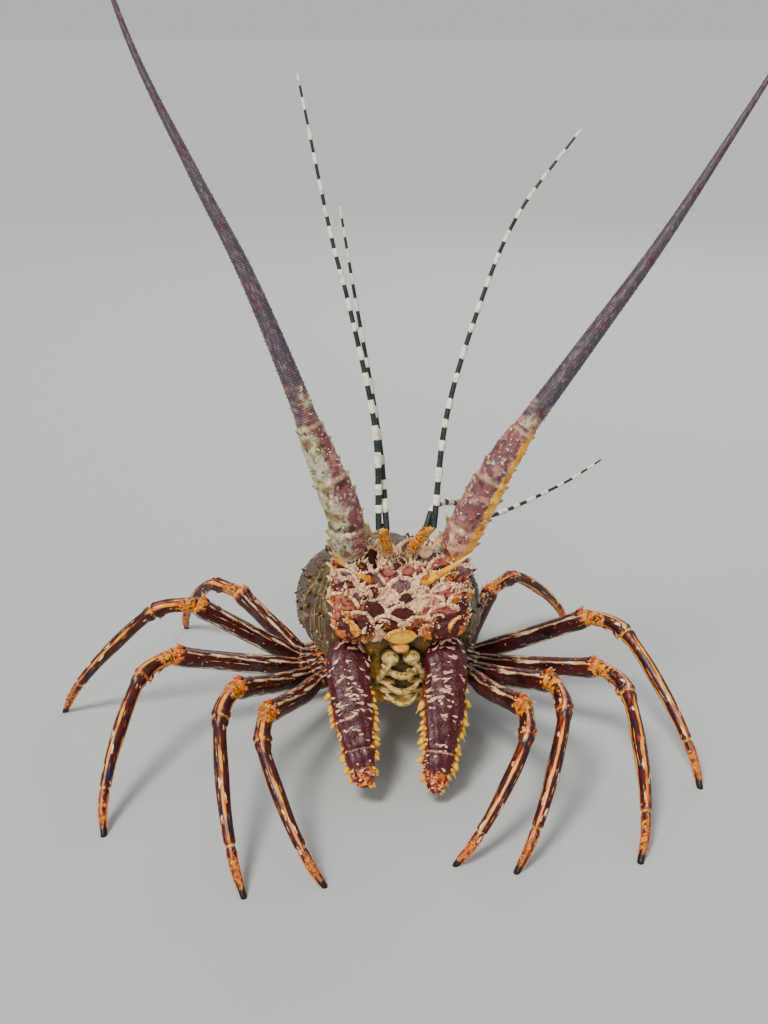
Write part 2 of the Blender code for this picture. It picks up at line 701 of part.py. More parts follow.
def make_sternum():
    """The plate between the legs, widest at the rear, with a step at each pair of legs."""
    rings = []
    for i in range(STERNUM_RINGS + 1):
        t = i / STERNUM_RINGS
        s = STERNUM_REAR + (STERNUM_FRONT - STERNUM_REAR) * t
        width = blend(STERNUM_HALF_WIDTH, t)
        top = carapace_floor(s) - SOCKET_GAP
        floor = blend(STERNUM_FLOOR_ALONG, t) + STERNUM_STEP * (i % 2)
        drop = floor - top
        left = [body(s, width * x, top + drop * n) for x, n in STERNUM_OUTLINE]
        right = [body(s, -width * x, top + drop * n) for x, n in STERNUM_OUTLINE]
        rings.append(left + right[::-1])
    return loft("sternum", rings)


# ---------------------------------------------------------------- head


def plate_levels():
    """Shares up the face, three to a row of plates, with how far the plate stands out at each."""
    levels = []
    for row in range(PLATE_ROWS):
        for within, swell in PLATE_PROFILE:
            levels.append(((row + within) / PLATE_ROWS, 1 - PLATE_STEP * (1 - swell)))
    levels.append((1.0, 1 - PLATE_STEP))
    return levels


def make_face():
    """The middle of the face: the antennular plate above, the epistome and the upper lip below."""
    back, rings = CARAPACE_FRONT + GAP, []
    for t, swell in plate_levels():
        n = FACE_LOW + (FACE_HIGH - FACE_LOW) * t
        width = FACE_HALF_WIDTH * blend(FACE_WIDTH_ALONG, t)
        depth = blend(FACE_DEPTH_ALONG, t) * swell
        left = [body(back + depth * s, width * x, n + PLATE_SLANT * width * x) for s, x in FACE_OUTLINE]
        right = [body(back + depth * s, -width * x, n + PLATE_SLANT * width * x) for s, x in FACE_OUTLINE]
        rings.append(left + right[::-1])
    obj, pieces = loft("face_plate", rings), []
    for row in range(PLATE_ROWS):
        t = (row + FACE_SPINE_LEVEL) / PLATE_ROWS
        n = FACE_LOW + (FACE_HIGH - FACE_LOW) * t
        depth = blend(FACE_DEPTH_ALONG, t)
        for sign in SIDES.values():
            x = FACE_SPINE_X[row % 2]
            root = body(back + depth * FACE_SPINE_SUNK, sign * x, n + PLATE_SLANT * x)
            size = SPINE_LARGE if row == PLATE_ROWS - 1 else SPINE_SMALL
            forward, outward, upward = FACE_SPINE_WAY
            pieces.append(spine(root, body_direction(forward, sign * outward, upward), size))
    return fuse(obj, pieces)


def make_mouth():
    """The heavy mandibles and the mouthparts folded under them, as rounded lobes on each side."""
    pieces = []
    for sign in SIDES.values():
        for rear, front in MOUTH_LOBES:
            path = [on_side(rear, sign), on_side(front, sign)]

            def half_size(t):
                k = blend(MOUTH_TAPER, t)
                return MOUTH_RADIUS * k, MOUTH_RADIUS * MOUTH_FLATNESS * k

            line = resample(path, MOUTH_RINGS)
            pieces.append(tube("mouth_piece", line, half_size, MOUTH_SIDES, body_direction(0, 0, 1)))
    first = pieces.pop(0)
    first.name = "mandibles"
    return fuse(first, pieces, MANY_PIECES)


def make_antenna_base(side, sign):
    """The big basal segments beside the face, as rows of spiny overlapping plates."""
    low = body(ANTENNA_BASE_LOW[0], sign * ANTENNA_BASE_X, ANTENNA_BASE_LOW[1])
    high = body(ANTENNA_BASE_HIGH[0], sign * ANTENNA_BASE_X, ANTENNA_BASE_HIGH[1])
    lead, ahead = (high - low).normalized(), body_direction(1, 0, 0)
    across, front = cross_axes(lead, ahead)
    rings = []
    for t, swell in plate_levels():
        k = blend(ANTENNA_BASE_ALONG, t) * swell
        ring = []
        for j in range(ANTENNA_BASE_SIDES):
            c, s = superellipse(2 * math.pi * (j + 0.5) / ANTENNA_BASE_SIDES, BASE_SQUARENESS)
            out = ANTENNA_BASE_HALF_WIDTH * k * c
            rise = lead * (PLATE_SLANT * sign * out)
            ring.append(low.lerp(high, t) + across * out + rise + front * (ANTENNA_BASE_DEPTH * k * s))
        rings.append(ring)
    obj, pieces = loft(f"antenna_base_{side}", rings), []
    for row in range(PLATE_ROWS):
        t = (row + BASE_SPINE_LEVEL) / PLATE_ROWS
        k = blend(ANTENNA_BASE_ALONG, t)
        for degrees in BASE_SPINE_TURNS[row % 2]:
            a = math.radians(degrees)
            out = front * math.cos(a) + Vector((sign * math.sin(a), 0, 0))
            depth = front * (ANTENNA_BASE_DEPTH * k * math.cos(a) ** BASE_SPINE_ROUND)
            x = ANTENNA_BASE_HALF_WIDTH * k * math.sin(a)
            side_way = Vector((sign * x, 0, 0)) + lead * (PLATE_SLANT * x)
            root = low.lerp(high, t) + depth + side_way - out * BASE_SPINE_SINK
            scale = rng.uniform(*SPINE_SCALES)
            pieces.append(spine(root, out + lead * BASE_SPINE_LEAN, SPINE_SMALL, scale))
    brow, brow_tip = on_side(BROW_ROOT, sign), on_side(BROW_TIP, sign)
    pieces.append(spine(brow, brow_tip - brow, BROW_SPINE[side]))
    return fuse(obj, pieces, MANY_PIECES)


def antenna_line(side, sign):
    return smooth_line([on_side(ANTENNA_ROOT, sign), *in_metres(ANTENNA_POINTS[side])], ANTENNA_STEPS)


def antenna_part(line, start, end, count):
    """Points of the antenna between two shares of it, and the line's direction at both ends."""
    first, last = round(start * ANTENNA_STEPS), round(end * ANTENNA_STEPS)
    along = tangents(line)
    return resample(line[first : last + 1], count), (along[first], along[last])


def lash_radius(share):
    """Radius of the lash at a share of the whole antenna's length."""
    t = (share - ANTENNA_STALK_SHARE) / (1 - ANTENNA_STALK_SHARE)
    taper = (1 - t) ** ANTENNA_TAPER * (1 + ANTENNA_FULLNESS * t)
    return ANTENNA_TIP_RADIUS + (ANTENNA_LASH_RADIUS - ANTENNA_TIP_RADIUS) * taper


def make_antenna_stalk(side, sign):
    """The free segments of the antenna's stalk, with spines along its edges and front. Returns their room."""
    count = ANTENNA_STALK_RINGS
    points, ends = antenna_part(antenna_line(side, sign), 0, ANTENNA_STALK_SHARE, count)

    def half_size(t):
        waist = ANTENNA_STALK_WAIST * (1 - abs(math.sin(ANTENNA_STALK_SEGMENTS * math.pi * t)))
        r = ANTENNA_STALK_RADIUS * blend(ANTENNA_STALK_ALONG, t) * (1 - waist)
        return r, r * ANTENNA_STALK_FLATNESS

    obj = tube(f"antenna_stalk_{side}", points, half_size, ANTENNA_STALK_SIDES, AHEAD, ends)
    room, pieces = room_for(obj), []
    edges, every = ANTENNA_STALK_SPINE_TURNS
    for i, k in enumerate(range(ANTENNA_STALK_BARE, count, 2)):
        for turn in edges if i % 2 else every:
            size = SPINE_MEDIUM if turn in edges else SPINE_SMALL
            turned = turn + rng.uniform(-ANTENNA_STALK_SPINE_STRAY, ANTENNA_STALK_SPINE_STRAY)
            scale = rng.uniform(*ANTENNA_STALK_SPINE_SCALES)
            lean = ANTENNA_STALK_SPINE_LEAN
            pieces.append(spine_on_tube(points, k, turned, half_size, AHEAD, size, lean, scale))
    fuse(obj, pieces)
    return room


def make_antenna_lash(side, sign, name):
    """One length of the long stiff lash, with fine spines along both edges."""
    start, end, count, sides = ANTENNA_LASH_PARTS[name]
    points, ends = antenna_part(antenna_line(side, sign), start, end, count)
    points[0] = points[0] + ends[0] * GAP

    def half_size(t):
        r = lash_radius(start + (end - start) * t)
        return r, r

    obj = tube(f"antenna_{name}_{side}", points, half_size, sides, AHEAD, ends)
    pieces = []
    for k in range(1, count - 1):
        for turn in (0, 180) if name == "lash" else (180 * (k % 2),):
            lean = ANTENNA_LASH_SPINE_LEAN
            pieces.append(spine_on_tube(points, k, turn, half_size, AHEAD, SPINE_FINE, lean))
    return fuse(obj, pieces)


def make_antennule_stalk(side, sign):
    """The jointed stalk of an antennule. Returns its room."""
    top = Vector(ANTENNULE_TOPS[side]) * MM
    path = [*(on_side(point, sign) for point in ANTENNULE_ROOTS), top]

    def half_size(t):
        least, swell = ANTENNULE_STALK_SWELL
        r = ANTENNULE_STALK_RADIUS * (least + swell * abs(math.cos(ANTENNULE_STALK_SEGMENTS * math.pi * t)))
        return r * ANTENNULE_STALK_BREADTH, r

    line = smooth_line(path, ANTENNULE_STALK_RINGS)
    name = f"antennule_stalk_{side}"
    return room_for(tube(name, line, half_size, ANTENNULE_STALK_SIDES, AHEAD, (None, UP)))


def make_antennule_lash(side, sign, name):
    root = Vector(ANTENNULE_TOPS[side]) * MM
    root += Vector((sign * ANTENNULE_ROOT_OFFSET[name], 0, GAP))
    points = smooth_line([root, *in_metres(ANTENNULE_POINTS[side, name])], ANTENNULE_LASH_RINGS)

    def half_size(t):
        taper = (1 - t) ** ANTENNULE_TAPER
        r = ANTENNULE_TIP_RADIUS + (ANTENNULE_LASH_RADIUS - ANTENNULE_TIP_RADIUS) * taper
        return r, r

    return tube(f"antennule_{name}_{side}", points, half_size, ANTENNULE_LASH_SIDES, AHEAD, (UP, None))


def make_eye(side, sign):
    """A stalked eye, under its horn. Returns its room."""
    path = resample([on_side(EYE_ROOT, sign), on_side(EYE_TIP, sign)], EYE_RINGS)

    def half_size(t):
        if t < EYE_STALK_SHARE:
            return EYE_STALK_RADIUS, EYE_STALK_RADIUS
        along = 2 * (t - EYE_STALK_SHARE) / (1 - EYE_STALK_SHARE) - 1
        r = EYE_RADIUS * math.sqrt(max(EYE_END, 1 - along * along))
        return r, r

    return room_for(tube(f"eye_{side}", path, half_size, EYE_SIDES, body_direction(0, 0, 1)))


def maxilliped_turns(sign, share, k):
    """Where the spines stand round ring k, in degrees, at a share of the maxilliped's length."""
    if share >= MAXILLIPED_HEAD_SHARE:
        return (*MAXILLIPED_EDGES, *MAXILLIPED_FRONTS[k % 2])
    if k <= MAXILLIPED_HEAD_BARE:
        return ()
    return (MAXILLIPED_EDGES[0 if sign < 0 else 1],)


def make_maxilliped(side, sign, name):
    """One length of a stout third maxilliped, with spiny edges and front. Returns its room."""
    start, end, rows = MAXILLIPED_PARTS[name]
    path = [on_side(MAXILLIPED_ROOT, sign), *in_metres(MAXILLIPED_POINTS[side])]
    line = smooth_line(path, MAXILLIPED_STEPS)
    first, last = round(start * MAXILLIPED_STEPS), round(end * MAXILLIPED_STEPS)
    along = tangents(line)
    points, ends = resample(line[first : last + 1], rows), (along[first], along[last])
    if start > 0:
        points[0] = points[0] + ends[0] * GAP

    def half_size(t):
        width = MAXILLIPED_HALF_WIDTH * blend(MAXILLIPED_ALONG, start + (end - start) * t)
        return width, width * MAXILLIPED_FLATNESS

    sides, up = MAXILLIPED_SIDES, MAXILLIPED_TILT
    obj = tube(f"maxilliped_{name}_{side}", points, half_size, sides, up, ends, MAXILLIPED_SQUARENESS)
    room, pieces = room_for(obj), []
    for k in range(1, rows):
        for turn in maxilliped_turns(sign, start + (end - start) * k / rows, k):
            size = SPINE_MEDIUM if turn in MAXILLIPED_EDGES else SPINE_SMALL
            scale = rng.uniform(*MAXILLIPED_SPINE_SCALES)
            if name == "lower":
                scale = scale * MAXILLIPED_LOWER_SCALE
            pieces.append(spine_on_tube(points, k, turn, half_size, up, size, MAXILLIPED_SPINE_LEAN, scale))
    fuse(obj, pieces, MANY_PIECES)
    return room


# ---------------------------------------------------------------- legs


def leg_points(side, sign, index):
    """Hip, elbow under the carapace's edge, knee and foot of a leg."""
    s, x = HIPS[index]
    hip = body(s * MM, sign * x * MM, HIP_LEVEL)
    knee = Vector(KNEES[side][index]) * MM
    foot = Vector((*FEET[side][index], 0)) * MM
    heading = (knee.y - hip.y) / abs(knee.x - hip.x)
    elbow = hip + Vector((sign, COXA_TURN * heading, -COXA_DROP)).normalized() * COXA_REACH
    return hip, elbow, knee, foot


def leg_tube(name, points, profile, ends, lateral):
    """A leg's solid, its width kept along one lateral direction so that a steep leg doesn't twist."""
    rings = []
    for i, (point, direction) in enumerate(zip(points, tangents(points, ends))):
        side = (lateral - direction * lateral.dot(direction)).normalized()
        top = side.cross(direction)
        r = blend(profile, i / (len(points) - 1))
        ring = []
        for j in range(LEG_SIDES):
            a = 2 * math.pi * (j + 0.5) / LEG_SIDES
            ring.append(point + side * (r * math.cos(a)) + top * (r * LEG_DEPTH * math.sin(a)))
        rings.append(ring)
    return loft(name, rings)


def make_upper_leg(side, sign, index):
    """Coxa to knee, with spines at the end of the merus. Returns its room."""
    hip, elbow, knee, _ = leg_points(side, sign, index)
    lead = (knee - elbow).normalized()
    sag = elbow.lerp(knee, MERUS_SAG_AT) - UP * MERUS_SAG
    points = smooth_line([hip.lerp(elbow, -COXA_SUNK), elbow, sag, knee], UPPER_LEG_RINGS)
    lateral = lead.cross(UP).normalized()
    obj = leg_tube(f"leg_{index + 1}_upper_{side}", points, UPPER_LEG_ALONG, (None, lead), lateral)
    room = room_for(obj)
    near_knee, top = points[-2], lateral.cross(lead)
    root = near_knee + top * (MERUS_RADIUS * KNEE_SPINE_TOP)
    pieces = [spine(root, lead + top * KNEE_SPINE_LEAN, SPINE_MEDIUM)]
    for way in SIDES.values():
        root = near_knee + lateral * (way * MERUS_RADIUS * KNEE_SPINE_SIDE)
        pieces.append(spine(root, lead + lateral * (way * KNEE_SPINE_LEAN), SPINE_SMALL))
    fuse(obj, pieces)
    return room


def make_lower_leg(side, sign, index):
    """Carpus, propodus and dactyl, bowed, ending in a small flat on the floor."""
    _, elbow, knee, foot = leg_points(side, sign, index)
    lead = (knee - elbow).normalized()
    down = (foot - knee).normalized()
    wrist = knee + (lead + down * CARPUS_DROP).normalized() * CARPUS_LENGTH
    shin = (foot - wrist).normalized()
    bow = (lead - shin * lead.dot(shin)).normalized() * LOWER_LEG_BOW
    bowed = [wrist.lerp(foot, share) + bow * k for share, k in LOWER_LEG_BOWS]
    line = smooth_line([knee + lead * GAP, wrist, *bowed, foot], LOWER_LEG_RINGS)
    lateral = lead.cross(down).normalized()
    return leg_tube(f"leg_{index + 1}_lower_{side}", line, LOWER_LEG_ALONG, (lead, -UP), lateral)


# ---------------------------------------------------------------- abdomen and tail fan


def abdomen_axis():
    """Start, end and direction of each segment."""
    place, out = body(CARAPACE_REAR - GAP / 2, 0, ABDOMEN_START), []
    for (length, _, _, _), slope, turn in zip(ABDOMEN_SEGMENTS, ABDOMEN_SLOPES, ABDOMEN_TURNS):
        down, left = math.radians(slope), math.radians(turn)
        direction = Vector((math.cos(down) * math.sin(left), math.cos(down) * math.cos(left), -math.sin(down)))
        out.append((place, place + direction * length, direction))
        place = place + direction * length
    return out


def joint_directions():
    """The direction across each joint, from the carapace to the tail fan."""
    ways = [way for _, _, way in abdomen_axis()]
    between = [(a + b).normalized() for a, b in zip(ways, ways[1:])]
    return [-body_direction(1, 0, 0), *between, ways[-1]]


def segment_ring(centre, direction, width, above, below, scale):
    """An arched section: round over the back, with straight sides and a hollowed underside."""
    (across, top), ring = cross_axes(direction, UP), []
    for j in range(1, SEGMENT_ARC_SIDES):
        c, s = superellipse(math.pi * j / SEGMENT_ARC_SIDES, SEGMENT_SQUARENESS)
        ring.append((width * c * scale, above * s * scale))
    ring += [(-width * x, -below * n) for x, n in SEGMENT_UNDERSIDE]
    ring += [(width * x, -below * n) for x, n in SEGMENT_UNDERSIDE[::-1]]
    return [centre + across * x + top * n for x, n in ring]


def make_segment(index):
    """One segment of the abdomen, with a pleuron at each side and its swimmerets below."""
    _, width, above, below = ABDOMEN_SEGMENTS[index]
    sizes_after = [sizes[1:4] for sizes in ABDOMEN_SEGMENTS[1:]] + [ABDOMEN_END]
    next_width, next_above, next_below = sizes_after[index]
    start, end, direction = abdomen_axis()[index]
    joints, rings = joint_directions(), []
    first, last = start + direction * (GAP / 2), end - direction * (GAP / 2)
    for i, swell in enumerate(SEGMENT_SWELL):
        t = i / (len(SEGMENT_SWELL) - 1)
        lead = joints[index].lerp(joints[index + 1], t).normalized()
        shift = SEGMENT_TAPER * t
        sizes = (
            width + (next_width - width) * shift,
            above + (next_above - above) * shift,
            below + (next_below - below) * shift,
        )
        rings.append(segment_ring(first.lerp(last, t), lead, *sizes, swell))
    obj = loft(f"abdomen_{index + 1}", rings)
    pieces = []
    for sign in SIDES.values():
        pieces.append(pleuron(index, sign))
        if index in SWIMMERET_SEGMENTS:
            pieces.append(swimmeret(index, sign))
    return fuse(obj, pieces)


def pleuron(index, sign):
    """The pointed flap at the segment's side, hanging down and swept back."""
    _, width, _, below = ABDOMEN_SEGMENTS[index]
    start, end, direction = abdomen_axis()[index]
    across, top = cross_axes(direction, UP)
    out = across * (sign * width * PLEURON_OUT)
    root = start.lerp(end, PLEURON_AT) + out - top * (below * PLEURON_DOWN)
    reach = min(PLEURON_LENGTH, root.z - FLOOR_CLEARANCE)
    middle_back, middle_down = PLEURON_MIDDLE
    outline = [
        root - direction * PLEURON_AHEAD + top * PLEURON_RISE,
        root + direction * PLEURON_BEHIND + top * PLEURON_RISE,
        root + direction * middle_back - top * (reach * middle_down),
        root + direction * PLEURON_SWEEP - top * reach,
    ]
    thick = across * (sign * PLEURON_HALF_THICKNESS)
    outer = [point + thick * k for point, k in zip(outline, PLEURON_TAPER)]
    inner = [point - thick * k for point, k in zip(outline, PLEURON_TAPER)]
    return loft("pleuron_piece", [inner, outer])


def swimmeret(index, sign):
    """A leaf-shaped swimmeret, folded back."""
    _, width, _, below = ABDOMEN_SEGMENTS[index]
    start, end, direction = abdomen_axis()[index]
    across, top = cross_axes(direction, UP)
    ends = []
    for (share, out), drop in ((SWIMMERET_ROOT, 0), (SWIMMERET_TIP, SWIMMERET_DROP)):
        place = start.lerp(end, share) + across * (sign * width * out)
        ends.append(place - top * (below * SWIMMERET_LEVEL + drop))

    def half_size(t):
        return SWIMMERET_HALF_WIDTH * blend(SWIMMERET_ALONG, t), SWIMMERET_HALF_THICKNESS

    return tube("swimmeret_piece", resample(ends, SWIMMERET_RINGS), half_size, SWIMMERET_SIDES, UP)


def fan_leaf(name, root, lead, top, length, half_widths, thickness):
    """A thin leaf of the tail fan, crowned above and thinner towards its end."""
    across, rings = cross_axes(lead, top)[0], []
    columns = [1 - 2 * j / FAN_COLUMNS for j in range(FAN_COLUMNS + 1)]
    for i in range(FAN_RINGS + 1):
        t = i / FAN_RINGS
        centre, half = root + lead * (length * t), blend(half_widths, t)
        slab = thickness * (1 - LEAF_THINNING * t)
        upper = [centre + across * (half * u) + top * (slab * (1 - LEAF_CROWN * u * u)) for u in columns]
        lower = [centre + across * (half * u) - top * (slab * LEAF_BELLY) for u in columns[::-1]]
        rings.append(upper + lower)
    return loft(name, rings)


def make_tail_fan():
    """The telson above, and the two leaves of each uropod below and outside it."""
    _, end, direction = abdomen_axis()[-1]
    across, top = cross_axes(direction, UP)
    root = end + direction * GAP + top * TELSON_RISE
    fan_leaf("telson", root, direction, top, TELSON_LENGTH, TELSON_HALF_WIDTH, TELSON_THICKNESS)
    for side, sign in SIDES.items():
        for name, (x, swing, level, half_width) in LEAVES.items():
            a = math.radians(swing)
            lead = direction * math.cos(a) + across * (sign * math.sin(a))
            set_back = GAP + half_width * LEAF_WIDTH_ALONG[0][1] * math.sin(a)
            leaf_root = end + direction * set_back + across * (sign * x) + top * level
            widths = [(t, half_width * k) for t, k in LEAF_WIDTH_ALONG]
            fan_leaf(f"uropod_{name}_{side}", leaf_root, lead, top, LEAF_LENGTH, widths, LEAF_THICKNESS)


# ---------------------------------------------------------------- materials

# Colour and roughness of each part, and the node names it covers
MATERIALS = {
    "shell": ((0.20, 0.10, 0.065), 0.42, ("carapace",)),
    "face": ((0.30, 0.11, 0.085), 0.45, ("face_plate", "antenna_base")),
    "underside": ((0.42, 0.33, 0.14), 0.5, ("sternum", "mandibles")),
    "eye": ((0.012, 0.012, 0.016), 0.12, ("eye",)),
    "antenna": ((0.23, 0.085, 0.11), 0.5, ("antenna_stalk", "antenna_lash", "antenna_whip")),
    "antennule": ((0.04, 0.045, 0.045), 0.45, ("antennule",)),
    "maxilliped": ((0.13, 0.03, 0.05), 0.4, ("maxilliped",)),
    "leg_upper": ((0.17, 0.03, 0.022), 0.35, tuple(f"leg_{k}_upper" for k in range(1, 6))),
    "leg_lower": ((0.42, 0.14, 0.03), 0.38, tuple(f"leg_{k}_lower" for k in range(1, 6))),
    "abdomen": ((0.17, 0.085, 0.055), 0.4, ("abdomen",)),
    "tail_fan": ((0.24, 0.11, 0.06), 0.42, ("telson", "uropod")),
}


def make_material(name, colour, roughness):
    made = bpy.data.materials.new(name)
    made.use_nodes = True
    shader = made.node_tree.nodes["Principled BSDF"]
    shader.inputs["Base Color"].default_value = (*colour, 1)
    shader.inputs["Roughness"].default_value = roughness
    shader.inputs["Metallic"].default_value = 0
    return made


def paint(objects):
    for name, (colour, roughness, starts) in MATERIALS.items():
        made = make_material(name, colour, roughness)
        for obj in objects:
            if obj.name.startswith(starts):
                obj.data.materials.clear()
                obj.data.materials.append(made)
                obj.data.shade_smooth()
                obj.data.set_sharp_from_angle(angle=SHARP_ANGLE)


# ---------------------------------------------------------------- assembly


def make_side(side, sign, carapace, sternum, face, mouth):
    """Everything on one side, with the sockets it needs in the middle pieces."""
    eye = make_eye(side, sign)
    base = make_antenna_base(side, sign)
    stalk = make_antenna_stalk(side, sign)
    for name in ANTENNA_LASH_PARTS:
        make_antenna_lash(side, sign, name)
    antennule = make_antennule_stalk(side, sign)
    for name in ANTENNULE_ROOT_OFFSET:
        make_antennule_lash(side, sign, name)
    maxilliped = make_maxilliped(side, sign, "upper")
    maxilliped_end = make_maxilliped(side, sign, "lower")
    legs = [make_upper_leg(side, sign, index) for index in range(len(HIPS))]
    for index in range(len(HIPS)):
        make_lower_leg(side, sign, index)
    make_room(base, [eye, stalk, maxilliped], MANY_PIECES)
    make_room(face, [eye, antennule, maxilliped], MANY_PIECES)
    make_room(mouth, [maxilliped], MANY_PIECES)
    make_room(carapace, [eye, maxilliped, legs[0]], MANY_PIECES)
    make_room(sternum, [maxilliped, *legs], MANY_PIECES)
    for room in (eye, stalk, antennule, maxilliped, maxilliped_end, *legs):
        bpy.data.objects.remove(room)


def stand_on_origin(objects):
    """Moves every piece so that the origin is under the middle of the whole."""
    corners = [obj.matrix_world @ vertex.co for obj in objects for vertex in obj.data.vertices]
    low = Vector([min(corner[axis] for corner in corners) for axis in range(3)])
    high = Vector([max(corner[axis] for corner in corners) for axis in range(3)])
    shift = Vector((-(low.x + high.x) / 2, -(low.y + high.y) / 2, 0))
    for obj in objects:
        obj.location = shift


def main():
    for obj in list(bpy.data.objects):
        bpy.data.objects.remove(obj)
    carapace = make_carapace()
    sternum = make_sternum()
    face = make_face()
    mouth = make_mouth()
    for index in range(len(ABDOMEN_SEGMENTS)):
        make_segment(index)
    make_tail_fan()
    for side, sign in SIDES.items():
        make_side(side, sign, carapace, sternum, face, mouth)
    objects = list(bpy.context.scene.objects)
    paint(objects)
    stand_on_origin(objects)


main()
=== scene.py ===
"""The looks of a life-size spiny lobster: every shell part at full detail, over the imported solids.

Sizes are in millimetres. Places are in the body's own frame, as s forward along the body, x to the animal's
left and n up through its back, or in the body-centred frame, as x, y and z. Each piece is brought to metres
in the row frame when its mesh is made.
"""

import math

import bpy
import numpy as np
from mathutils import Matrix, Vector


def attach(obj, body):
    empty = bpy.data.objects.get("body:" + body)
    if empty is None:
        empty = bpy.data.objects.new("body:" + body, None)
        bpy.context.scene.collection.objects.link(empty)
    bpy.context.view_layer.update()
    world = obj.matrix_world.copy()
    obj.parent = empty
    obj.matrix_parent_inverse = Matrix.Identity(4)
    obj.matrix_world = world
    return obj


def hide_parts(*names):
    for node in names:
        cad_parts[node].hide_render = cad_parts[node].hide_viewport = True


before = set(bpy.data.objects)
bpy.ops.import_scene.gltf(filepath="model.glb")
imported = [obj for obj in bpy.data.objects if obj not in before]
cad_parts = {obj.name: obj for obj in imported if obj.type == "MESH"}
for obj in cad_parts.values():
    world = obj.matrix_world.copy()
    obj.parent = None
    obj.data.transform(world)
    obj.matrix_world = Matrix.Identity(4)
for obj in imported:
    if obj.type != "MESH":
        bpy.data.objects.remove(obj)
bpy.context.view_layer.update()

TAU = 2 * math.pi
SIDES = {"right": -1, "left": 1}
UP = np.array([0.0, 0.0, 1.0])
AHEAD = np.array([0.0, -1.0, 0.0])
TO_METRES = 0.001
# side of a bristle's patch on the map, and how far out to a limb's skin the roots of its spines lie
TUFT_PATCH = 0.003
ROOT_REACH = 0.95
# the shells' specular level, and the radius at which patterns drawn out along a limb are laid round it
SPECULAR = 0.28
LIMB_RADIUS = 4
rng = np.random.default_rng(5)

# Body frame
BODY_PITCH = math.radians(17)
BODY_CENTRE_Z = 58

# Legs: s and x of each hip, then each knee and foot
HIPS = [(21, 19.5), (5, 21.5), (-11, 23), (-27, 24.5), (-43, 26)]
HIP_LEVEL = -30
KNEES = {
    "right": [(-61, -85, 46), (-75, -71, 51), (-105, -31, 48), (-95, -3, 61), (-76, 52, 42)],
    "left": [(51, -89, 46), (66, -77, 51), (95, -49, 42), (98, -13, 51), (60, 50, 39)],
}
FEET = {
    "right": [(-39, -143), (-71, -147), (-131, -101), (-163, 6), (-108, 96)],
    "left": [(15, -134), (39, -141), (91, -139), (133, -88), (110, 84)],
}

# Carapace
CARAPACE_REAR = -58
CARAPACE_FRONT = 46
CARAPACE_HALF_WIDTH = 45.5
CARAPACE_TOP = 30.5
CARAPACE_MIDDLE = -6
CARAPACE_WIDTH_ALONG = [(0, 0.77), (0.36, 1.0), (0.68, 0.94), (1, 0.73)]
CARAPACE_TOP_ALONG = [(0, 0.80), (0.35, 0.97), (0.7, 1.0), (1, 0.93)]
CARAPACE_FLOOR_ALONG = [(0, -24), (0.66, -24), (1, -35)]
BACK_SQUARENESS = 0.78
BELLY_SQUARENESS = 0.62
GROOVE_DEPTH = 2.4
GROOVE_WIDTH = 3.2
GROOVE_SWEEP = 24
HORN_PATH = [(33, 12.5, 22), (44, 12.5, 30.5), (51, 12.8, 36.5), (55, 13.2, 43)]

# Face
FACE_HALF_WIDTH = 12.4
FACE_LOW = -11.5
FACE_HIGH = 27
FACE_WIDTH_ALONG = [(0, 0.92), (0.3, 1.0), (0.75, 1.0), (1, 1.1)]
FACE_DEPTH_ALONG = [(0, 12), (0.35, 16.5), (0.75, 15), (1, 9)]
PLATE_SLANT = 0.24
ANTENNA_BASE_X = 21.2
ANTENNA_BASE_LOW = (55.7, -10)
ANTENNA_BASE_HIGH = (57, 29.5)
ANTENNA_BASE_HALF_WIDTH = 10.3
ANTENNA_BASE_DEPTH = 9.0
ANTENNA_BASE_ALONG = [(0, 0.76), (0.2, 0.96), (0.55, 1.0), (0.85, 0.94), (1, 0.76)]
BROW_SPINE = {"right": (10, 1.6), "left": (23, 2.0)}
BROW_ROOT = (64, 15.5, 19)
BROW_TIP = (80, 38, 32.5)
EYE_RADIUS = 4.3
EYE_STALK_RADIUS = 2.8
EYE_STALK_SHARE = 0.40
EYE_ROOT = (43, 11, 27)
EYE_TIP = (55.5, 12.4, 32.5)

# Antennae, as points after the root on the head
ANTENNA_POINTS = {
    "right": [
        (-24.6, -57, 125),
        (-35.3, -57.5, 155.4),
        (-47.8, -56, 191),
        (-64, -49.8, 231),
        (-83, -42, 269.2),
        (-107, -28, 321.3),
        (-131, 0, 398),
    ],
    "left": [
        (31.5, -57.5, 126),
        (46.8, -57.1, 154.2),
        (75.5, -53, 193.8),
        (106, -47, 234.8),
        (133.6, -39, 274.5),
        (168.5, -25.5, 325),
        (196, -8, 362),
    ],
}
ANTENNA_ROOT = (59.5, 22.8, 26.5)
ANTENNA_STALK_SHARE = 0.22
ANTENNA_STALK_RADIUS = 7.9
ANTENNA_STALK_ALONG = [(0, 0.78), (0.2, 1.0), (0.5, 0.98), (0.8, 0.82), (1, 0.64)]
ANTENNA_LASH_RADIUS = 4.6
ANTENNA_TIP_RADIUS = 0.6
ANTENNULE_ROOTS = [(52, 5.2, 21.5), (59.5, 5.2, 30)]
ANTENNULE_TOPS = {"right": (-8.6, -62, 121), "left": (11.6, -62, 121)}
ANTENNULE_POINTS = {
    ("right", "outer"): [(-11.5, -58, 164), (-21, -51, 213), (-28.5, -46, 244), (-40, -35, 304)],
    ("right", "inner"): [(-9.5, -50, 160), (-19, -33, 222), (-23.5, -26, 252)],
    ("left", "outer"): [(19, -55, 168), (33, -47, 213), (49, -41, 249), (75, -34, 282)],
    ("left", "inner"): [(15, -53, 127), (26, -37, 122), (43, -20, 108), (85, 12, 111), (110, 29, 118)],
}
ANTENNULE_ROOT_OFFSET = {"outer": 1.7, "inner": -1.7}

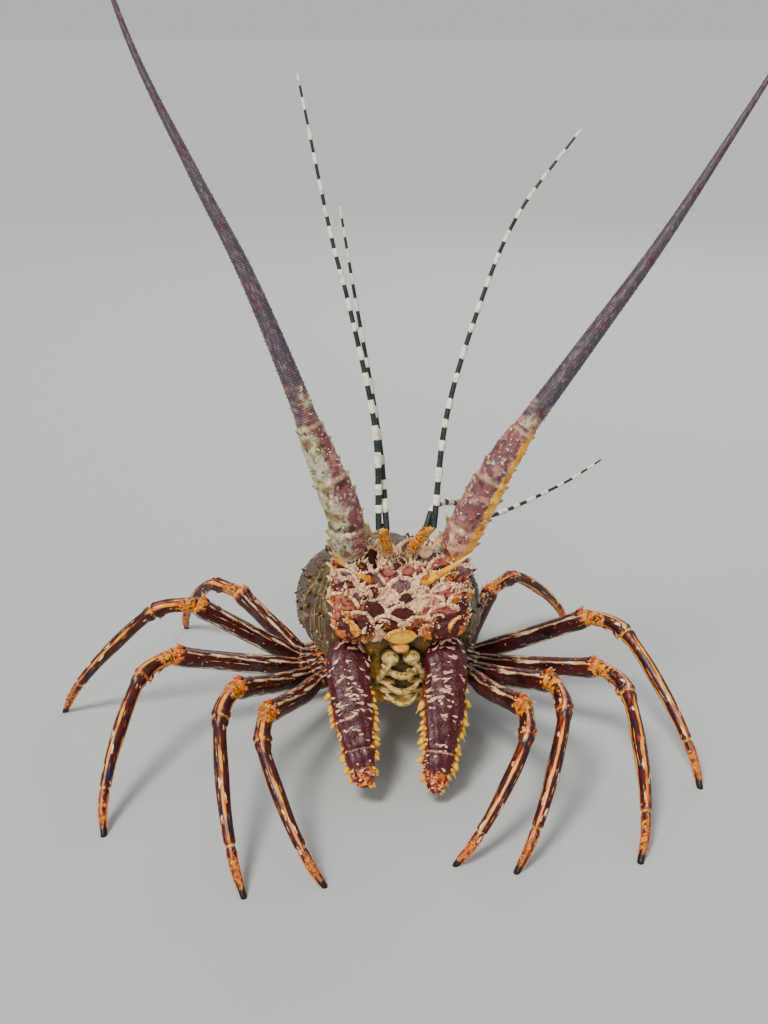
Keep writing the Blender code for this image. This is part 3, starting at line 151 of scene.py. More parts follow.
# Third maxillipeds
MAXILLIPED_POINTS = {
    "right": [(-23.5, -55, 52.5), (-22, -74, 32), (-18.5, -92, 11.5)],
    "left": [(20.5, -55, 52), (16.8, -75, 30), (11.5, -93, 8)],
}
MAXILLIPED_ROOT = (38, 18.5, -13)
MAXILLIPED_HALF_WIDTH = 9.8
MAXILLIPED_FLATNESS = 0.62
MAXILLIPED_ALONG = [(0, 0.72), (0.2, 1.0), (0.5, 0.95), (0.8, 0.70), (0.93, 0.52), (1, 0.24)]
MAXILLIPED_SPLIT = 0.76
MAXILLIPED_TILT = np.array([0, -1, 0.25])
# share of the small spines in front that are kept along a third maxilliped
FRONT_SPINES_ALONG = [(0, 0.5), (0.15, 1.0), (0.5, 0.85), (0.7, 0.45), (1, 0.4)]

# Leg profiles
COXA_REACH = 17
COXA_DROP = 0.12
COXA_RADIUS = 5.5
MERUS_RADIUS = 4.2
KNEE_RADIUS = 3.4
PROPODUS_RADIUS = 2.9
ANKLE_RADIUS = 2.2
FOOT_RADIUS = 1.3
CARPUS_LENGTH = 19
LOWER_LEG_BOW = 4.5
LEG_DEPTH = 1.12

# Abdomen, by segment: length, half-width, height above and depth below its axis
ABDOMEN_SEGMENTS = [
    (16, 34.5, 22.0, 15.0),
    (20, 34.5, 21.5, 15.0),
    (20, 33.0, 20.0, 13.5),
    (19, 30.5, 18.0, 11.0),
    (18, 27.5, 15.5, 9.0),
    (21, 23.5, 12.5, 7.0),
]
ABDOMEN_SLOPES = [17, 19, 19, 16, 12, 8]
ABDOMEN_TURNS = [1, 2.5, 4, 5.5, 6.5, 7]
ABDOMEN_END = (20, 7.5, 4.5)
ABDOMEN_START = 1
TAIL_GAP = 0.3

# Photograph's view: the camera's place in the body-centred frame, its tilt and turn, and its lens
CAMERA_PLACE = (-51.33, -556.27, 318.77)
CAMERA_TILT = 69
CAMERA_TURN = -5
CAMERA_LENS = 43.945
CAMERA_SENSOR = 36


# ---------------------------------------------------------------- curves


def unit(vectors):
    return vectors / np.linalg.norm(vectors, axis=-1, keepdims=True)


def smooth_step(t):
    t = np.clip(t, 0, 1)
    return t * t * (3 - 2 * t)


def between(value, low, high):
    """0 below low and 1 above high, smooth between."""
    return smooth_step((value - low) / (high - low))


def bell(value, centre, width):
    return np.exp(-(((value - centre) / width) ** 2))


def blend(stations, t):
    """The value at t of a smooth curve through (t, value) stations."""
    at, values = np.array(stations, float).T
    t = np.clip(t, at[0], at[-1])
    k = np.clip(np.searchsorted(at, t, side="right") - 1, 0, len(at) - 2)
    return values[k] + (values[k + 1] - values[k]) * smooth_step((t - at[k]) / (at[k + 1] - at[k]))


def superellipse(turns, squareness):
    """Unit points at these angles, round at squareness 1 and boxier below it."""
    c, s = np.cos(turns), np.sin(turns)
    return np.sign(c) * np.abs(c) ** squareness, np.sign(s) * np.abs(s) ** squareness


def body(s, x, n):
    """Points of the body frame, as x, y and z in millimetres."""
    s, x, n = np.broadcast_arrays(s, x, n)
    c, t = math.cos(BODY_PITCH), math.sin(BODY_PITCH)
    return np.stack([x, n * t - s * c, BODY_CENTRE_Z + s * t + n * c], -1).astype(float)


def body_way(s, x, n):
    return unit(body(s, x, n) - body(0, 0, 0))


BODY_AHEAD = body_way(1, 0, 0)
BODY_UP = body_way(0, 0, 1)


def on_side(point, sign):
    s, x, n = point
    return body(s, sign * x, n)


def resample(line, count):
    """count + 1 points at even distances along a polyline."""
    steps = np.linalg.norm(np.diff(line, axis=0), axis=1)
    lengths = np.concatenate([[0], np.cumsum(steps)])
    at = np.linspace(0, lengths[-1], count + 1)
    return np.stack([np.interp(at, lengths, line[:, k]) for k in range(3)], 1)


def smooth_line(points, count, steps=24):
    """count + 1 evenly spaced points along a smooth curve through the given ones."""
    p = np.array(points, float)
    ext = np.vstack([2 * p[0] - p[1], p, 2 * p[-1] - p[-2]])
    t, fine = np.arange(steps)[:, None] / steps, []
    for p0, p1, p2, p3 in zip(ext, ext[1:], ext[2:], ext[3:]):
        linear = 2 * p1 + (p2 - p0) * t
        curve = (2 * p0 - 5 * p1 + 4 * p2 - p3) * t**2 + (3 * p1 - p0 - 3 * p2 + p3) * t**3
        fine.append((linear + curve) / 2)
    return resample(np.vstack([*fine, p[-1:]]), count)


def tangents(line, ends=(None, None)):
    """The direction at each point of a line, or a given one at either end."""
    ways = unit(np.gradient(line, axis=0))
    if ends[0] is not None:
        ways[0] = ends[0]
    if ends[1] is not None:
        ways[-1] = ends[1]
    return ways


def line_length(line):
    return np.linalg.norm(np.diff(line, axis=0), axis=1).sum()


def straight(start, end, count):
    """count + 1 points at even distances from start to end."""
    return resample(np.array([start, end]), count)


def bells(value, bumps):
    """The sum of bells over value, from (centre, height, width) triples."""
    return sum(height * bell(value, centre, width) for centre, height, width in bumps)


def rounded_ends(t, low, high):
    """1 along a piece, and falling round to a small share at both its ends."""
    first = np.sqrt(np.clip(1 - ((low - t) / low) ** 2, 0.06, 1)) if low else 1.0
    last = np.sqrt(np.clip(1 - ((t - 1 + high) / high) ** 2, 0.06, 1)) if high else 1.0
    return np.where(t < low, first, 1.0) * np.where(t > 1 - high, last, 1.0)


def rounded_tip(t, reach, least=0.03):
    """1 along a limb, and falling round to a point over the last share of it."""
    return np.where(t > 1 - reach, np.sqrt(np.clip((1 - t) / reach, least, 1)), 1)


def axes_along(ways, up, lateral=None):
    """The directions across a limb and out of its top, square to these lengthwise ones."""
    across = unit(np.cross(ways, up) if lateral is None else lateral - ways * (ways @ lateral)[:, None])
    return across, np.cross(across, ways)


# ---------------------------------------------------------------- meshes

VALUES = ("along", "side", "top", "tip", "rim", "kind", "warm", "inset", "root")


def foot_shift():
    """How far the row frame's origin lies from the body-centred one, from where a known foot stands."""
    corners = np.array([v.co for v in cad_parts["leg_3_lower_left"].data.vertices]) / TO_METRES
    sole = corners[corners[:, 2] < 0.05].mean(0)
    return np.array([sole[0] - FEET["left"][2][0], sole[1] - FEET["left"][2][1], 0])


SHIFT = foot_shift()


def fan(centre, first, second):
    return [(centre, a, b) for a, b in zip(first, second)]


class Shell:
    """The surfaces of one piece, with the values on them that its material paints by."""

    def __init__(self):
        self.points, self.quads, self.triangles, self.maps, self.count = [], [], [], [], 0
        self.values = {name: [] for name in VALUES}

    def add(self, points, quads, triangles, values):
        points = np.asarray(points, float).reshape(-1, 3)
        self.points.append(points)
        self.quads.append(np.asarray(quads, int).reshape(-1, 4) + self.count)
        self.triangles.append(np.asarray(triangles, int).reshape(-1, 3) + self.count)
        for name in VALUES:
            self.values[name].append(np.broadcast_to(values.get(name, 0.0), len(points)))
        self.count += len(points)

    def grid(self, points, values):
        """A surface through rows of points, its rows closed into rings, and with both ends capped."""
        rows, columns = points.shape[:2]
        index = np.arange(rows * columns).reshape(rows, columns)
        ahead = np.roll(index, -1, axis=1)
        quads = np.stack([index[:-1], ahead[:-1], ahead[1:], index[1:]], -1)
        low, high = rows * columns, rows * columns + 1
        triangles = fan(low, ahead[0], index[0]) + fan(high, index[-1], ahead[-1])
        points = points.reshape(-1, 3)
        points = np.vstack([points, points[:columns].mean(0), points[-columns:].mean(0)])
        flat = {}
        for name, value in values.items():
            value = np.broadcast_to(value, (rows, columns)).reshape(-1)
            flat[name] = np.append(value, [value[0], value[-1]])
        self.add(points, quads, triangles, flat)

    def copies(self, form, roots, ways, sizes, bends=None, **values):
        """Copies of a form, each along three directions of its own at three sizes, and bent as it goes up."""
        shape, quads, triangles, own = form
        count = len(roots)
        out = np.asarray(roots)[:, None]
        for axis, (way, size) in enumerate(zip(ways, sizes)):
            scale = np.broadcast_to(size, count).astype(float)[:, None, None]
            out = out + way[:, None] * (shape[None, :, axis, None] * scale)
        if bends is not None:
            bends = np.broadcast_to(bends, (count, 3))
            out = out + bends[:, None] * (scale * np.maximum(shape[None, :, 2:3], 0) ** 2)
        offsets = np.arange(count)[:, None, None] * len(shape)
        spread = {name: np.tile(value, count) for name, value in own.items()}
        for name, value in values.items():
            spread[name] = np.repeat(np.broadcast_to(value, count), len(shape))
        self.add(out, quads[None] + offsets, triangles[None] + offsets, spread)

    def stamp(self, form, roots, ways, lengths, radii, bends=None, **values):
        """Copies of a form of revolution, each with its root, direction, length and root radius."""
        ways = unit(np.broadcast_to(ways, (len(roots), 3)).astype(float))
        guide = np.where(np.abs(ways @ UP)[:, None] > 0.9, AHEAD, UP)
        x_way = unit(np.cross(guide, ways))
        frame_ways = (x_way, np.cross(ways, x_way), ways)
        self.copies(form, roots, frame_ways, (radii, radii, lengths), bends, **values)

    def tufts(self, roots, ways, lengths, radius, across, along):
        """Bristles, each a small patch of the map at its root's place on an unwrap of the skin."""
        patch = FINE_THORN[0][:, :2] * TUFT_PATCH / 2
        places = np.column_stack(np.broadcast_arrays(across, along))
        self.maps.append((places[:, None] + patch[None]).reshape(-1, 2))
        self.stamp(FINE_THORN, roots, ways, lengths, radius)

    def make(self, name, material, slot, *nodes):
        """The finished piece, which takes the place of these solids."""
        points = (np.vstack(self.points) + SHIFT) * TO_METRES
        faces = np.vstack(self.quads).tolist() + np.vstack(self.triangles).tolist()
        mesh = bpy.data.meshes.new(name)
        mesh.from_pydata(points.tolist(), [], faces)
        for key, arrays in self.values.items():
            value = np.concatenate(arrays).astype(np.float32)
            if value.any():
                mesh.attributes.new(key, "FLOAT", "POINT").data.foreach_set("value", value)
        mesh.materials.append(material)
        mesh.shade_smooth()
        mesh.validate()
        if self.maps:
            corners = np.empty(len(mesh.loops), int)
            mesh.loops.foreach_get("vertex_index", corners)
            places = np.vstack(self.maps)[corners]
            mesh.uv_layers.new(name="OFBake").data.foreach_set("uv", places.astype(np.float32).reshape(-1))
        obj = bpy.data.objects.new(name, mesh)
        bpy.context.scene.collection.objects.link(obj)
        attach(obj, "root")
        if nodes:
            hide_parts(*nodes)


def turned_form(profile, sides):
    """A closed form of revolution along +Z, from (height, radius) pairs, the last of which is its tip."""
    heights, radii = np.array(profile[:-1], float).T
    turns = np.arange(sides) * TAU / sides
    levels = np.broadcast_to(heights[:, None], (len(heights), sides))
    rings = np.stack([radii[:, None] * np.cos(turns), radii[:, None] * np.sin(turns), levels], -1)
    index = np.arange(len(heights) * sides).reshape(len(heights), sides)
    ahead = np.roll(index, -1, axis=1)
    quads = np.stack([index[:-1], ahead[:-1], ahead[1:], index[1:]], -1).reshape(-1, 4)
    tip, foot = len(heights) * sides, len(heights) * sides + 1
    triangles = fan(tip, index[-1], ahead[-1]) + fan(foot, ahead[0], index[0])
    points = np.vstack([rings.reshape(-1, 3), [(0, 0, profile[-1][0])], [(0, 0, heights[0])]])
    return points, quads, np.array(triangles), {"tip": np.clip(points[:, 2], 0, 1)}


THORN_PROFILE = [
    (-0.3, 1.25),
    (-0.04, 1.22),
    (0.05, 1.0),
    (0.16, 0.82),
    (0.35, 0.62),
    (0.58, 0.4),
    (0.8, 0.2),
    (0.93, 0.08),
    (1, 0),
]
KNOB_PROFILE = [(-0.5, 1.0), (0.0, 1.05), (0.35, 0.98), (0.62, 0.8), (0.84, 0.52), (0.96, 0.24), (1, 0)]
THORN = turned_form(THORN_PROFILE, 10)
FINE_THORN = turned_form([(-0.3, 1.1), (0.05, 0.95), (0.45, 0.55), (0.8, 0.22), (1, 0)], 6)
KNOB = turned_form(KNOB_PROFILE, 10)
GRAIN = turned_form([(-0.4, 1.0), (0.25, 0.9), (0.7, 0.55), (1, 0)], 6)


def tube(line, sides, width, depth, up, ends=(None, None), lateral=None, squareness=1.0, bumps=0.0):
    """Points round a line, with the values along and round it. Width and depth are half-sizes by row."""
    across, top = axes_along(tangents(line, ends), up, lateral)
    turns = (np.arange(sides) + 0.5) * TAU / sides
    c, s = superellipse(turns, squareness)
    wide = np.broadcast_to(width, len(line))[:, None] * c + bumps * np.cos(turns)
    deep = np.broadcast_to(depth, len(line))[:, None] * s + bumps * np.sin(turns)
    points = line[:, None] + across[:, None] * wide[..., None] + top[:, None] * deep[..., None]
    along = np.linspace(0, line_length(line), len(line))[:, None]
    return points, {"along": along, "side": np.cos(turns)[None], "top": np.sin(turns)[None]}


def on_tube(line, shares, turns, width, depth, up, ends=(None, None), lateral=None):
    """Places just under a tube's skin, by share of its length and angle, and the ways out and along there."""
    rows = np.clip(shares, 0, 1) * (len(line) - 1)
    low = np.floor(rows).astype(int)
    high = np.minimum(low + 1, len(line) - 1)
    part = (rows - low)[:, None]

    def at(values):
        return values[low] * (1 - part) + values[high] * part

    way = unit(at(tangents(line, ends)))
    across, top = axes_along(way, up, lateral)
    c, s = np.cos(turns)[:, None], np.sin(turns)[:, None]
    w = at(np.broadcast_to(width, len(line))[:, None])
    d = at(np.broadcast_to(depth, len(line))[:, None])
    roots = at(line) + across * (w * c * ROOT_REACH) + top * (d * s * ROOT_REACH)
    return roots, unit(across * c * d + top * s * w), way


# ---------------------------------------------------------------- materials

MAROON = (0.072, 0.007, 0.005)
DEEP_MAROON = (0.016, 0.0025, 0.003)
WINE = (0.044, 0.005, 0.013)
PURPLE = (0.062, 0.015, 0.042)
CREAM = (0.74, 0.53, 0.25)
PALE_CREAM = (0.88, 0.80, 0.60)
PINK_CREAM = (0.66, 0.33, 0.21)
ROSE = (0.28, 0.045, 0.026)
ORANGE = (0.70, 0.105, 0.002)
DEEP_ORANGE = (0.30, 0.028, 0.002)
YELLOW = (0.84, 0.37, 0.008)
OLIVE = (0.072, 0.050, 0.010)
PALE_OLIVE = (0.30, 0.21, 0.045)
BROWN = (0.080, 0.029, 0.010)
SLATE = (0.044, 0.062, 0.084)
NAVY = (0.010, 0.010, 0.035)
LILAC = (0.27, 0.17, 0.19)
DUSK = (0.062, 0.024, 0.031)
SMOKE = (0.100, 0.058, 0.062)
INK = (0.008, 0.011, 0.010)
WHITE = (0.88, 0.86, 0.74)


class Finish:
    """A material, built as colours laid one over the other on its ground."""

    def __init__(self, name, coat=0.08, coat_roughness=0.3):
        self.material = bpy.data.materials.new(name)
        self.material.use_nodes = True
        self.tree = self.material.node_tree
        self.shader = self.tree.nodes["Principled BSDF"]
        self.shader.inputs["Coat Weight"].default_value = coat
        self.shader.inputs["Coat Roughness"].default_value = coat_roughness
        self.shader.inputs["Specular IOR Level"].default_value = SPECULAR
        self.place = self.tree.nodes.new("ShaderNodeTexCoord").outputs["Object"]
        self.ground = None

    def put(self, socket, value):
        if isinstance(value, bpy.types.NodeSocket):
            self.tree.links.new(value, socket)
        else:
            socket.default_value = value

    def value(self, name):
        node = self.tree.nodes.new("ShaderNodeAttribute")
        node.attribute_name = name
        return node.outputs["Fac"]

    def math(self, operation, a, b=0.0):
        node = self.tree.nodes.new("ShaderNodeMath")
        node.operation = operation
        self.put(node.inputs[0], a)
        self.put(node.inputs[1], b)
        return node.outputs[0]

    def times(self, a, b):
        return self.math("MULTIPLY", a, b)

    def plus(self, a, b):
        return self.math("ADD", a, b)

    def step(self, value, low, high):
        """0 at low and 1 at high, smooth between, also where low is above high."""
        node = self.tree.nodes.new("ShaderNodeMapRange")
        node.interpolation_type = "SMOOTHSTEP"
        turned = low > high
        self.put(node.inputs["Value"], value)
        node.inputs["From Min"].default_value = min(low, high)
        node.inputs["From Max"].default_value = max(low, high)
        node.inputs["To Min"].default_value = 1.0 if turned else 0.0
        node.inputs["To Max"].default_value = 0.0 if turned else 1.0
        return node.outputs["Result"]

    def noise(self, size, detail=3.0, roughness=0.55, stretch=None):
        """Noise of features about size millimetres across, or drawn out along the piece by stretch."""
        node = self.tree.nodes.new("ShaderNodeTexNoise")
        node.inputs["Detail"].default_value = detail
        node.inputs["Roughness"].default_value = roughness
        node.inputs["Scale"].default_value = 1 / (size * TO_METRES)
        self.put(node.inputs["Vector"], self.along_piece(stretch) if stretch else self.place)
        return node.outputs["Fac"]

    def wave(self, reach, *noise, **kinds):
        """Noise about 0, which reaches half of reach to either side."""
        return self.times(self.plus(self.noise(*noise, **kinds), -0.5), reach)

    def ragged(self, name, reach, size, detail=3.0):
        """A value of the surface, with ragged borders."""
        return self.plus(self.value(name), self.wave(reach, size, detail))

    def along_piece(self, stretch):
        """Coordinates that run round and along the piece, with the lengthwise one shortened by stretch."""
        node = self.tree.nodes.new("ShaderNodeCombineXYZ")
        self.put(node.inputs["X"], self.times(self.value("side"), LIMB_RADIUS * TO_METRES))
        self.put(node.inputs["Y"], self.times(self.value("top"), LIMB_RADIUS * TO_METRES))
        self.put(node.inputs["Z"], self.times(self.value("along"), TO_METRES / stretch))
        return node.outputs[0]

    def cells(self, size):
        node = self.tree.nodes.new("ShaderNodeTexVoronoi")
        node.inputs["Scale"].default_value = 1 / (size * TO_METRES)
        self.put(node.inputs["Vector"], self.place)
        return node.outputs["Distance"]

    def mix(self, factor, *colours):
        """One colour or the other, by factor."""
        node = self.tree.nodes.new("ShaderNodeMix")
        node.data_type = "RGBA"
        self.put(node.inputs["Factor"], factor)
        for socket, colour in zip(node.inputs[6:8], colours):
            self.put(socket, (*colour, 1) if isinstance(colour, tuple) else colour)
        return node.outputs[2]

    def lay(self, where, colour, share=None):
        """Lays a colour over the ground where a value is high, or lets it through by a share."""
        self.ground = self.mix(self.times(where, share) if share else where, self.ground, colour)

    def tones(self, value, *colours):
        """A run of colours over the middle of a noise's range."""
        node = self.tree.nodes.new("ShaderNodeValToRGB")
        stops = node.color_ramp.elements
        places = np.linspace(0.34, 0.66, len(colours))
        for k, (at, colour) in enumerate(zip(places, colours)):
            stop = stops[k] if k < 2 else stops.new(float(at))
            stop.position = float(at)
            stop.color = (*colour, 1)
        self.put(node.inputs[0], value)
        return node.outputs["Color"]

    def mottle(self, size, detail, *colours):
        """A run of colours over noise of this size and detail."""
        return self.tones(self.noise(size, detail), *colours)

    def thorns(self, base, end):
        """Lets spines turn from the ground colour to base and then end towards their tips."""
        tip = self.value("tip")
        self.lay(self.step(tip, 0.03, 0.4), base)
        self.lay(self.step(tip, 0.45, 0.9), end)

    def pores(self, size, cells, fine, grain):
        """A height that dips between cells of this size, under finer noise."""
        return self.plus(self.times(self.cells(size), cells), self.times(self.noise(*fine), grain))

    def rough(self, low, high, size=3.0):
        """Roughness that varies over the surface between low and high."""
        return self.plus(self.times(self.noise(size, 4), high - low), low)

    def done(self, roughness, height, depth):
        """Puts the ground, the roughness and a bump of this depth in millimetres on the shader."""
        self.put(self.shader.inputs["Base Color"], self.ground)
        self.put(self.shader.inputs["Roughness"], roughness)
        bump = self.tree.nodes.new("ShaderNodeBump")
        bump.inputs["Strength"].default_value = 1.0
        bump.inputs["Distance"].default_value = depth * TO_METRES
        self.put(bump.inputs["Height"], height)
        self.put(self.shader.inputs["Normal"], bump.outputs["Normal"])
        return self.material


def shell_finish():
    """Dark olive-brown, with pale arcs behind the front edge, a painted blue-grey sheen and cream dots."""
    f = Finish("shell_finish", coat=0.15)
    f.ground = f.mottle(12, 5, BROWN, OLIVE, (0.060, 0.014, 0.010), (0.075, 0.045, 0.020), BROWN)
    # painted sheen: large blue-grey patches over the brown stand in for light glancing off the shell
    f.lay(f.step(f.noise(10, 4), 0.52, 0.64), SLATE, share=0.6)
    streaks = f.step(f.noise(2.6, 3, 0.6, stretch=12), 0.53, 0.62)
    f.lay(streaks, f.mottle(6, 3, PALE_OLIVE, OLIVE, (0.30, 0.24, 0.13)), share=0.6)
    f.lay(f.value("warm"), f.mottle(5, 4, OLIVE, PALE_OLIVE, YELLOW, PALE_OLIVE))
    f.lay(f.times(f.step(f.cells(4.2), 0.22, 0.12), f.step(f.noise(8, 2), 0.48, 0.56)), CREAM)
    rim = f.step(f.ragged("rim", 0.9, 3, 4), 0.35, 0.6)
    f.lay(rim, f.mottle(4, 3, OLIVE, PALE_OLIVE, (0.44, 0.36, 0.16)), share=0.8)
    f.lay(f.value("kind"), f.mottle(4, 4, DUSK, SLATE, (0.16, 0.12, 0.17), BROWN))
    f.thorns(BROWN, f.mottle(5, 3, ORANGE, CREAM, PALE_OLIVE))
    return f.done(f.rough(0.32, 0.5), f.pores(1.3, -0.5, (0.7, 2), 0.5), 0.2)


def face_finish():
    """Maroon, rose, cream, purple and grey-blue plates with pale rims and painted shade at their sunk edges,
    orange and yellow low and outside.
    """
    f = Finish("face_finish", coat=0.12)
    f.ground = f.mottle(3, 4, DEEP_MAROON, MAROON, WINE)
    kind = f.ragged("kind", 0.5, 2.6, 4)
    f.lay(f.step(kind, 0.14, 0.20), f.mottle(2.6, 4, MAROON, ROSE, (0.40, 0.11, 0.075), MAROON))
    cream = ((0.34, 0.08, 0.05), (0.78, 0.40, 0.26), (0.92, 0.70, 0.42), (0.50, 0.17, 0.11))
    f.lay(f.step(kind, 0.36, 0.42), f.mottle(2.6, 4, *cream))
    purple = ((0.16, 0.06, 0.065), PURPLE, (0.22, 0.11, 0.10), DEEP_MAROON)
    f.lay(f.step(kind, 0.62, 0.68), f.mottle(2.6, 4, *purple))
    # grey-blue plates under the antennae: grey-blue is their own colour, and their pale grey patches are a
    # painted highlight
    f.lay(f.step(kind, 0.88, 0.94), f.mottle(2, 3, (0.18, 0.22, 0.27), (0.55, 0.55, 0.56), SLATE))
    warm = f.ragged("warm", 1.3, 3.2, 4)
    orange = (BROWN, (0.48, 0.12, 0.012), (0.62, 0.20, 0.02), ROSE, (0.80, 0.26, 0.02))
    f.lay(f.step(warm, 0.46, 0.60), f.mottle(2.6, 4, *orange))
    f.lay(f.step(warm, 0.95, 1.1), f.mottle(2.5, 3, YELLOW, (0.78, 0.48, 0.05), YELLOW))
    # painted shade: the sunk outer edge and foot of each plate, where inset is near 0, are laid deep maroon
    # as shade between the plates
    f.ground = f.mix(f.step(f.value("inset"), 0.0, 0.03), DEEP_MAROON, f.ground)
    rim = f.step(f.ragged("rim", 1.9, 2.2, 4), 0.34, 0.60)
    pale = ((0.90, 0.48, 0.26), (0.98, 0.82, 0.54), (0.70, 0.28, 0.16), CREAM)
    f.lay(rim, f.mottle(2.6, 4, (0.40, 0.11, 0.06), *pale, (0.50, 0.14, 0.08)))
    f.lay(f.times(rim, f.step(warm, 0.6, 0.8)), f.mottle(2, 3, ORANGE, YELLOW, CREAM))
    f.thorns(f.mix(f.step(warm, 0.55, 0.75), CREAM, YELLOW), PALE_CREAM)
    return f.done(f.rough(0.24, 0.5, 2.0), f.pores(0.9, -0.4, (0.5, 2), 0.6), 0.18)


def antenna_finish():
    """Dusky purple-brown with fine paler rings, painted lilac highlights streaked along it, and cream, purple
    and orange patches towards the base.
    """
    f = Finish("antenna_finish")
    dusky = (DUSK, (0.055, 0.042, 0.056), (0.046, 0.042, 0.056), DUSK, (0.066, 0.020, 0.022))
    f.ground = f.tones(f.noise(5, 4, 0.6, stretch=3), *dusky)
    # painted highlight: small lilac streaks drawn out along the antenna
    f.lay(f.step(f.noise(1.0, 3, 0.6, stretch=3), 0.52, 0.62), LILAC, share=0.45)
    f.lay(f.value("rim"), LILAC, share=0.14)
    patch = f.ragged("warm", 1.0, 8)
    f.lay(f.step(patch, 0.35, 0.55), stalk_colours(f))
    orange = f.step(f.ragged("kind", 1.2, 5), 0.60, 0.8)
    f.lay(orange, f.mottle(4, 3, (0.50, 0.10, 0.008), (0.84, 0.34, 0.01), YELLOW, (0.90, 0.55, 0.06)))
    near = f.step(patch, 0.1, 0.4)
    f.thorns(f.mix(near, SMOKE, PALE_OLIVE), f.mix(near, LILAC, PALE_CREAM))
    return f.done(f.rough(0.38, 0.6), f.noise(0.6, 3), 0.12)


def stalk_colours(f):
    """Mottled grey-olive and pink, rosy at the root, with dark and cream patches and pale rims."""
    grey = (
        (0.080, 0.062, 0.028),
        (0.25, 0.22, 0.11),
        (0.50, 0.45, 0.33),
        (0.22, 0.18, 0.055),
        (0.17, 0.075, 0.060),
    )
    pink = (
        (0.060, 0.018, 0.026),
        (0.22, 0.060, 0.055),
        (0.095, 0.045, 0.062),
        (0.48, 0.18, 0.14),
        (0.16, 0.045, 0.042),
    )
    rosy = f.times(f.value("root"), f.step(f.noise(6, 3), 0.40, 0.56))
    inner = f.mix(rosy, f.mottle(7, 5, *pink), f.mottle(4, 3, ROSE, (0.80, 0.36, 0.26), PINK_CREAM))
    colour = f.mix(f.step(f.ragged("inset", 2.4, 6, 4), 0.34, 0.66), f.mottle(7, 5, *grey), inner)
    colour = f.mix(f.step(f.noise(3.6, 2), 0.64, 0.70), colour, (0.075, 0.026, 0.045))
    pale = f.times(f.step(f.noise(3.0, 3), 0.62, 0.68), 0.8)
    colour = f.mix(pale, colour, f.mottle(5, 3, CREAM, (0.72, 0.68, 0.58)))
    return f.mix(f.times(f.value("rim"), 0.3), colour, CREAM)


def antennule_finish():
    """Black-green and white bands. The stalk is cream with dark holes, orange and yellow towards its end."""
    f = Finish("antennule_finish", coat=0.1)
    f.ground = f.mottle(3, 3, INK, (0.022, 0.034, 0.028), INK)
    white = f.step(f.plus(f.value("rim"), f.times(f.noise(1.4, 3), 0.8)), 0.70, 0.95)
    f.lay(white, f.mottle(2, 3, WHITE, PALE_CREAM, (0.50, 0.48, 0.38)))
    stalk = f.mottle(1.8, 3, DEEP_MAROON, BROWN, CREAM, PALE_OLIVE, PINK_CREAM, BROWN)
    warm = f.step(f.plus(f.value("warm"), f.times(f.noise(2.5, 4), 0.6)), 0.75, 0.95)
    stalk = f.mix(warm, stalk, f.mottle(2.4, 3, DEEP_MAROON, ORANGE, YELLOW, BROWN, CREAM))
    f.lay(f.value("kind"), stalk)
    return f.done(f.rough(0.35, 0.55), f.noise(0.5, 2), 0.08)


def maxilliped_finish():
    """Near-black purple and maroon, with yellow and orange knobs, and small pinkish white spines in front."""
    f = Finish("maxilliped_finish", coat=0.1)
    f.ground = f.mottle(
        2.6, 5, DEEP_MAROON, (0.075, 0.008, 0.014), (0.038, 0.005, 0.010), MAROON, (0.050, 0.010, 0.038)
    )
    f.lay(f.step(f.noise(1.0, 3), 0.58, 0.68), (0.30, 0.075, 0.03), share=0.5)
    f.lay(f.value("rim"), PINK_CREAM)
    warm = f.times(f.value("warm"), f.step(f.noise(2.6, 4), 0.42, 0.52))
    f.lay(warm, f.mottle(2.2, 3, DEEP_ORANGE, ORANGE, YELLOW))
    tip, kind = f.value("tip"), f.value("kind")
    yellow = f.mottle(4, 3, (0.72, 0.34, 0.002), (0.78, 0.48, 0.01), (0.66, 0.26, 0.002), (0.82, 0.60, 0.10))
    knobs = f.mix(f.step(tip, 0.05, 0.5), f.mottle(3, 3, DEEP_ORANGE, MAROON, ORANGE), yellow)
    spines = f.mix(f.step(tip, 0.0, 0.25), PINK_CREAM, f.mottle(4, 3, PALE_CREAM, PINK_CREAM, PALE_CREAM))
    f.lay(f.step(kind, 0.2, 0.3), spines)
    f.lay(f.step(kind, 0.7, 0.8), knobs)
    return f.done(f.rough(0.26, 0.52, 1.5), f.pores(1.0, -0.6, (0.6, 3), 0.6), 0.3)


def corner_lines(f, colour, low, wander):
    """Lengthwise lines at the four corners of a leg, wider where low is lower."""
    corner = f.math("ABSOLUTE", f.times(f.value("side"), f.value("top")))
    corner = f.plus(f.times(corner, 2.0), f.wave(wander, 3.0, 3, 0.6, stretch=6))
    f.lay(f.step(corner, low, low + 0.1), colour)


def edge_lines(f, colour, low, wander):
    """Lengthwise lines along the upper and lower edge of a leg."""
    edge = f.plus(f.math("ABSOLUTE", f.value("top")), f.wave(wander, 2.6, 4, 0.6, stretch=4))
    f.lay(f.step(edge, low, low + 0.07), colour)


def leg_joints(f, low, *colours):
    """Mottled patches at the joints of a leg, where the value warm passes low, and pale rims."""
    f.lay(f.step(f.ragged("warm", 1.2, 2.4, 4), low, low + 0.14), f.mottle(2.6, 4, *colours))
    f.lay(f.times(f.value("rim"), f.step(f.noise(2.2, 3), 0.44, 0.54)), f.mottle(3, 3, ORANGE, YELLOW, CREAM))


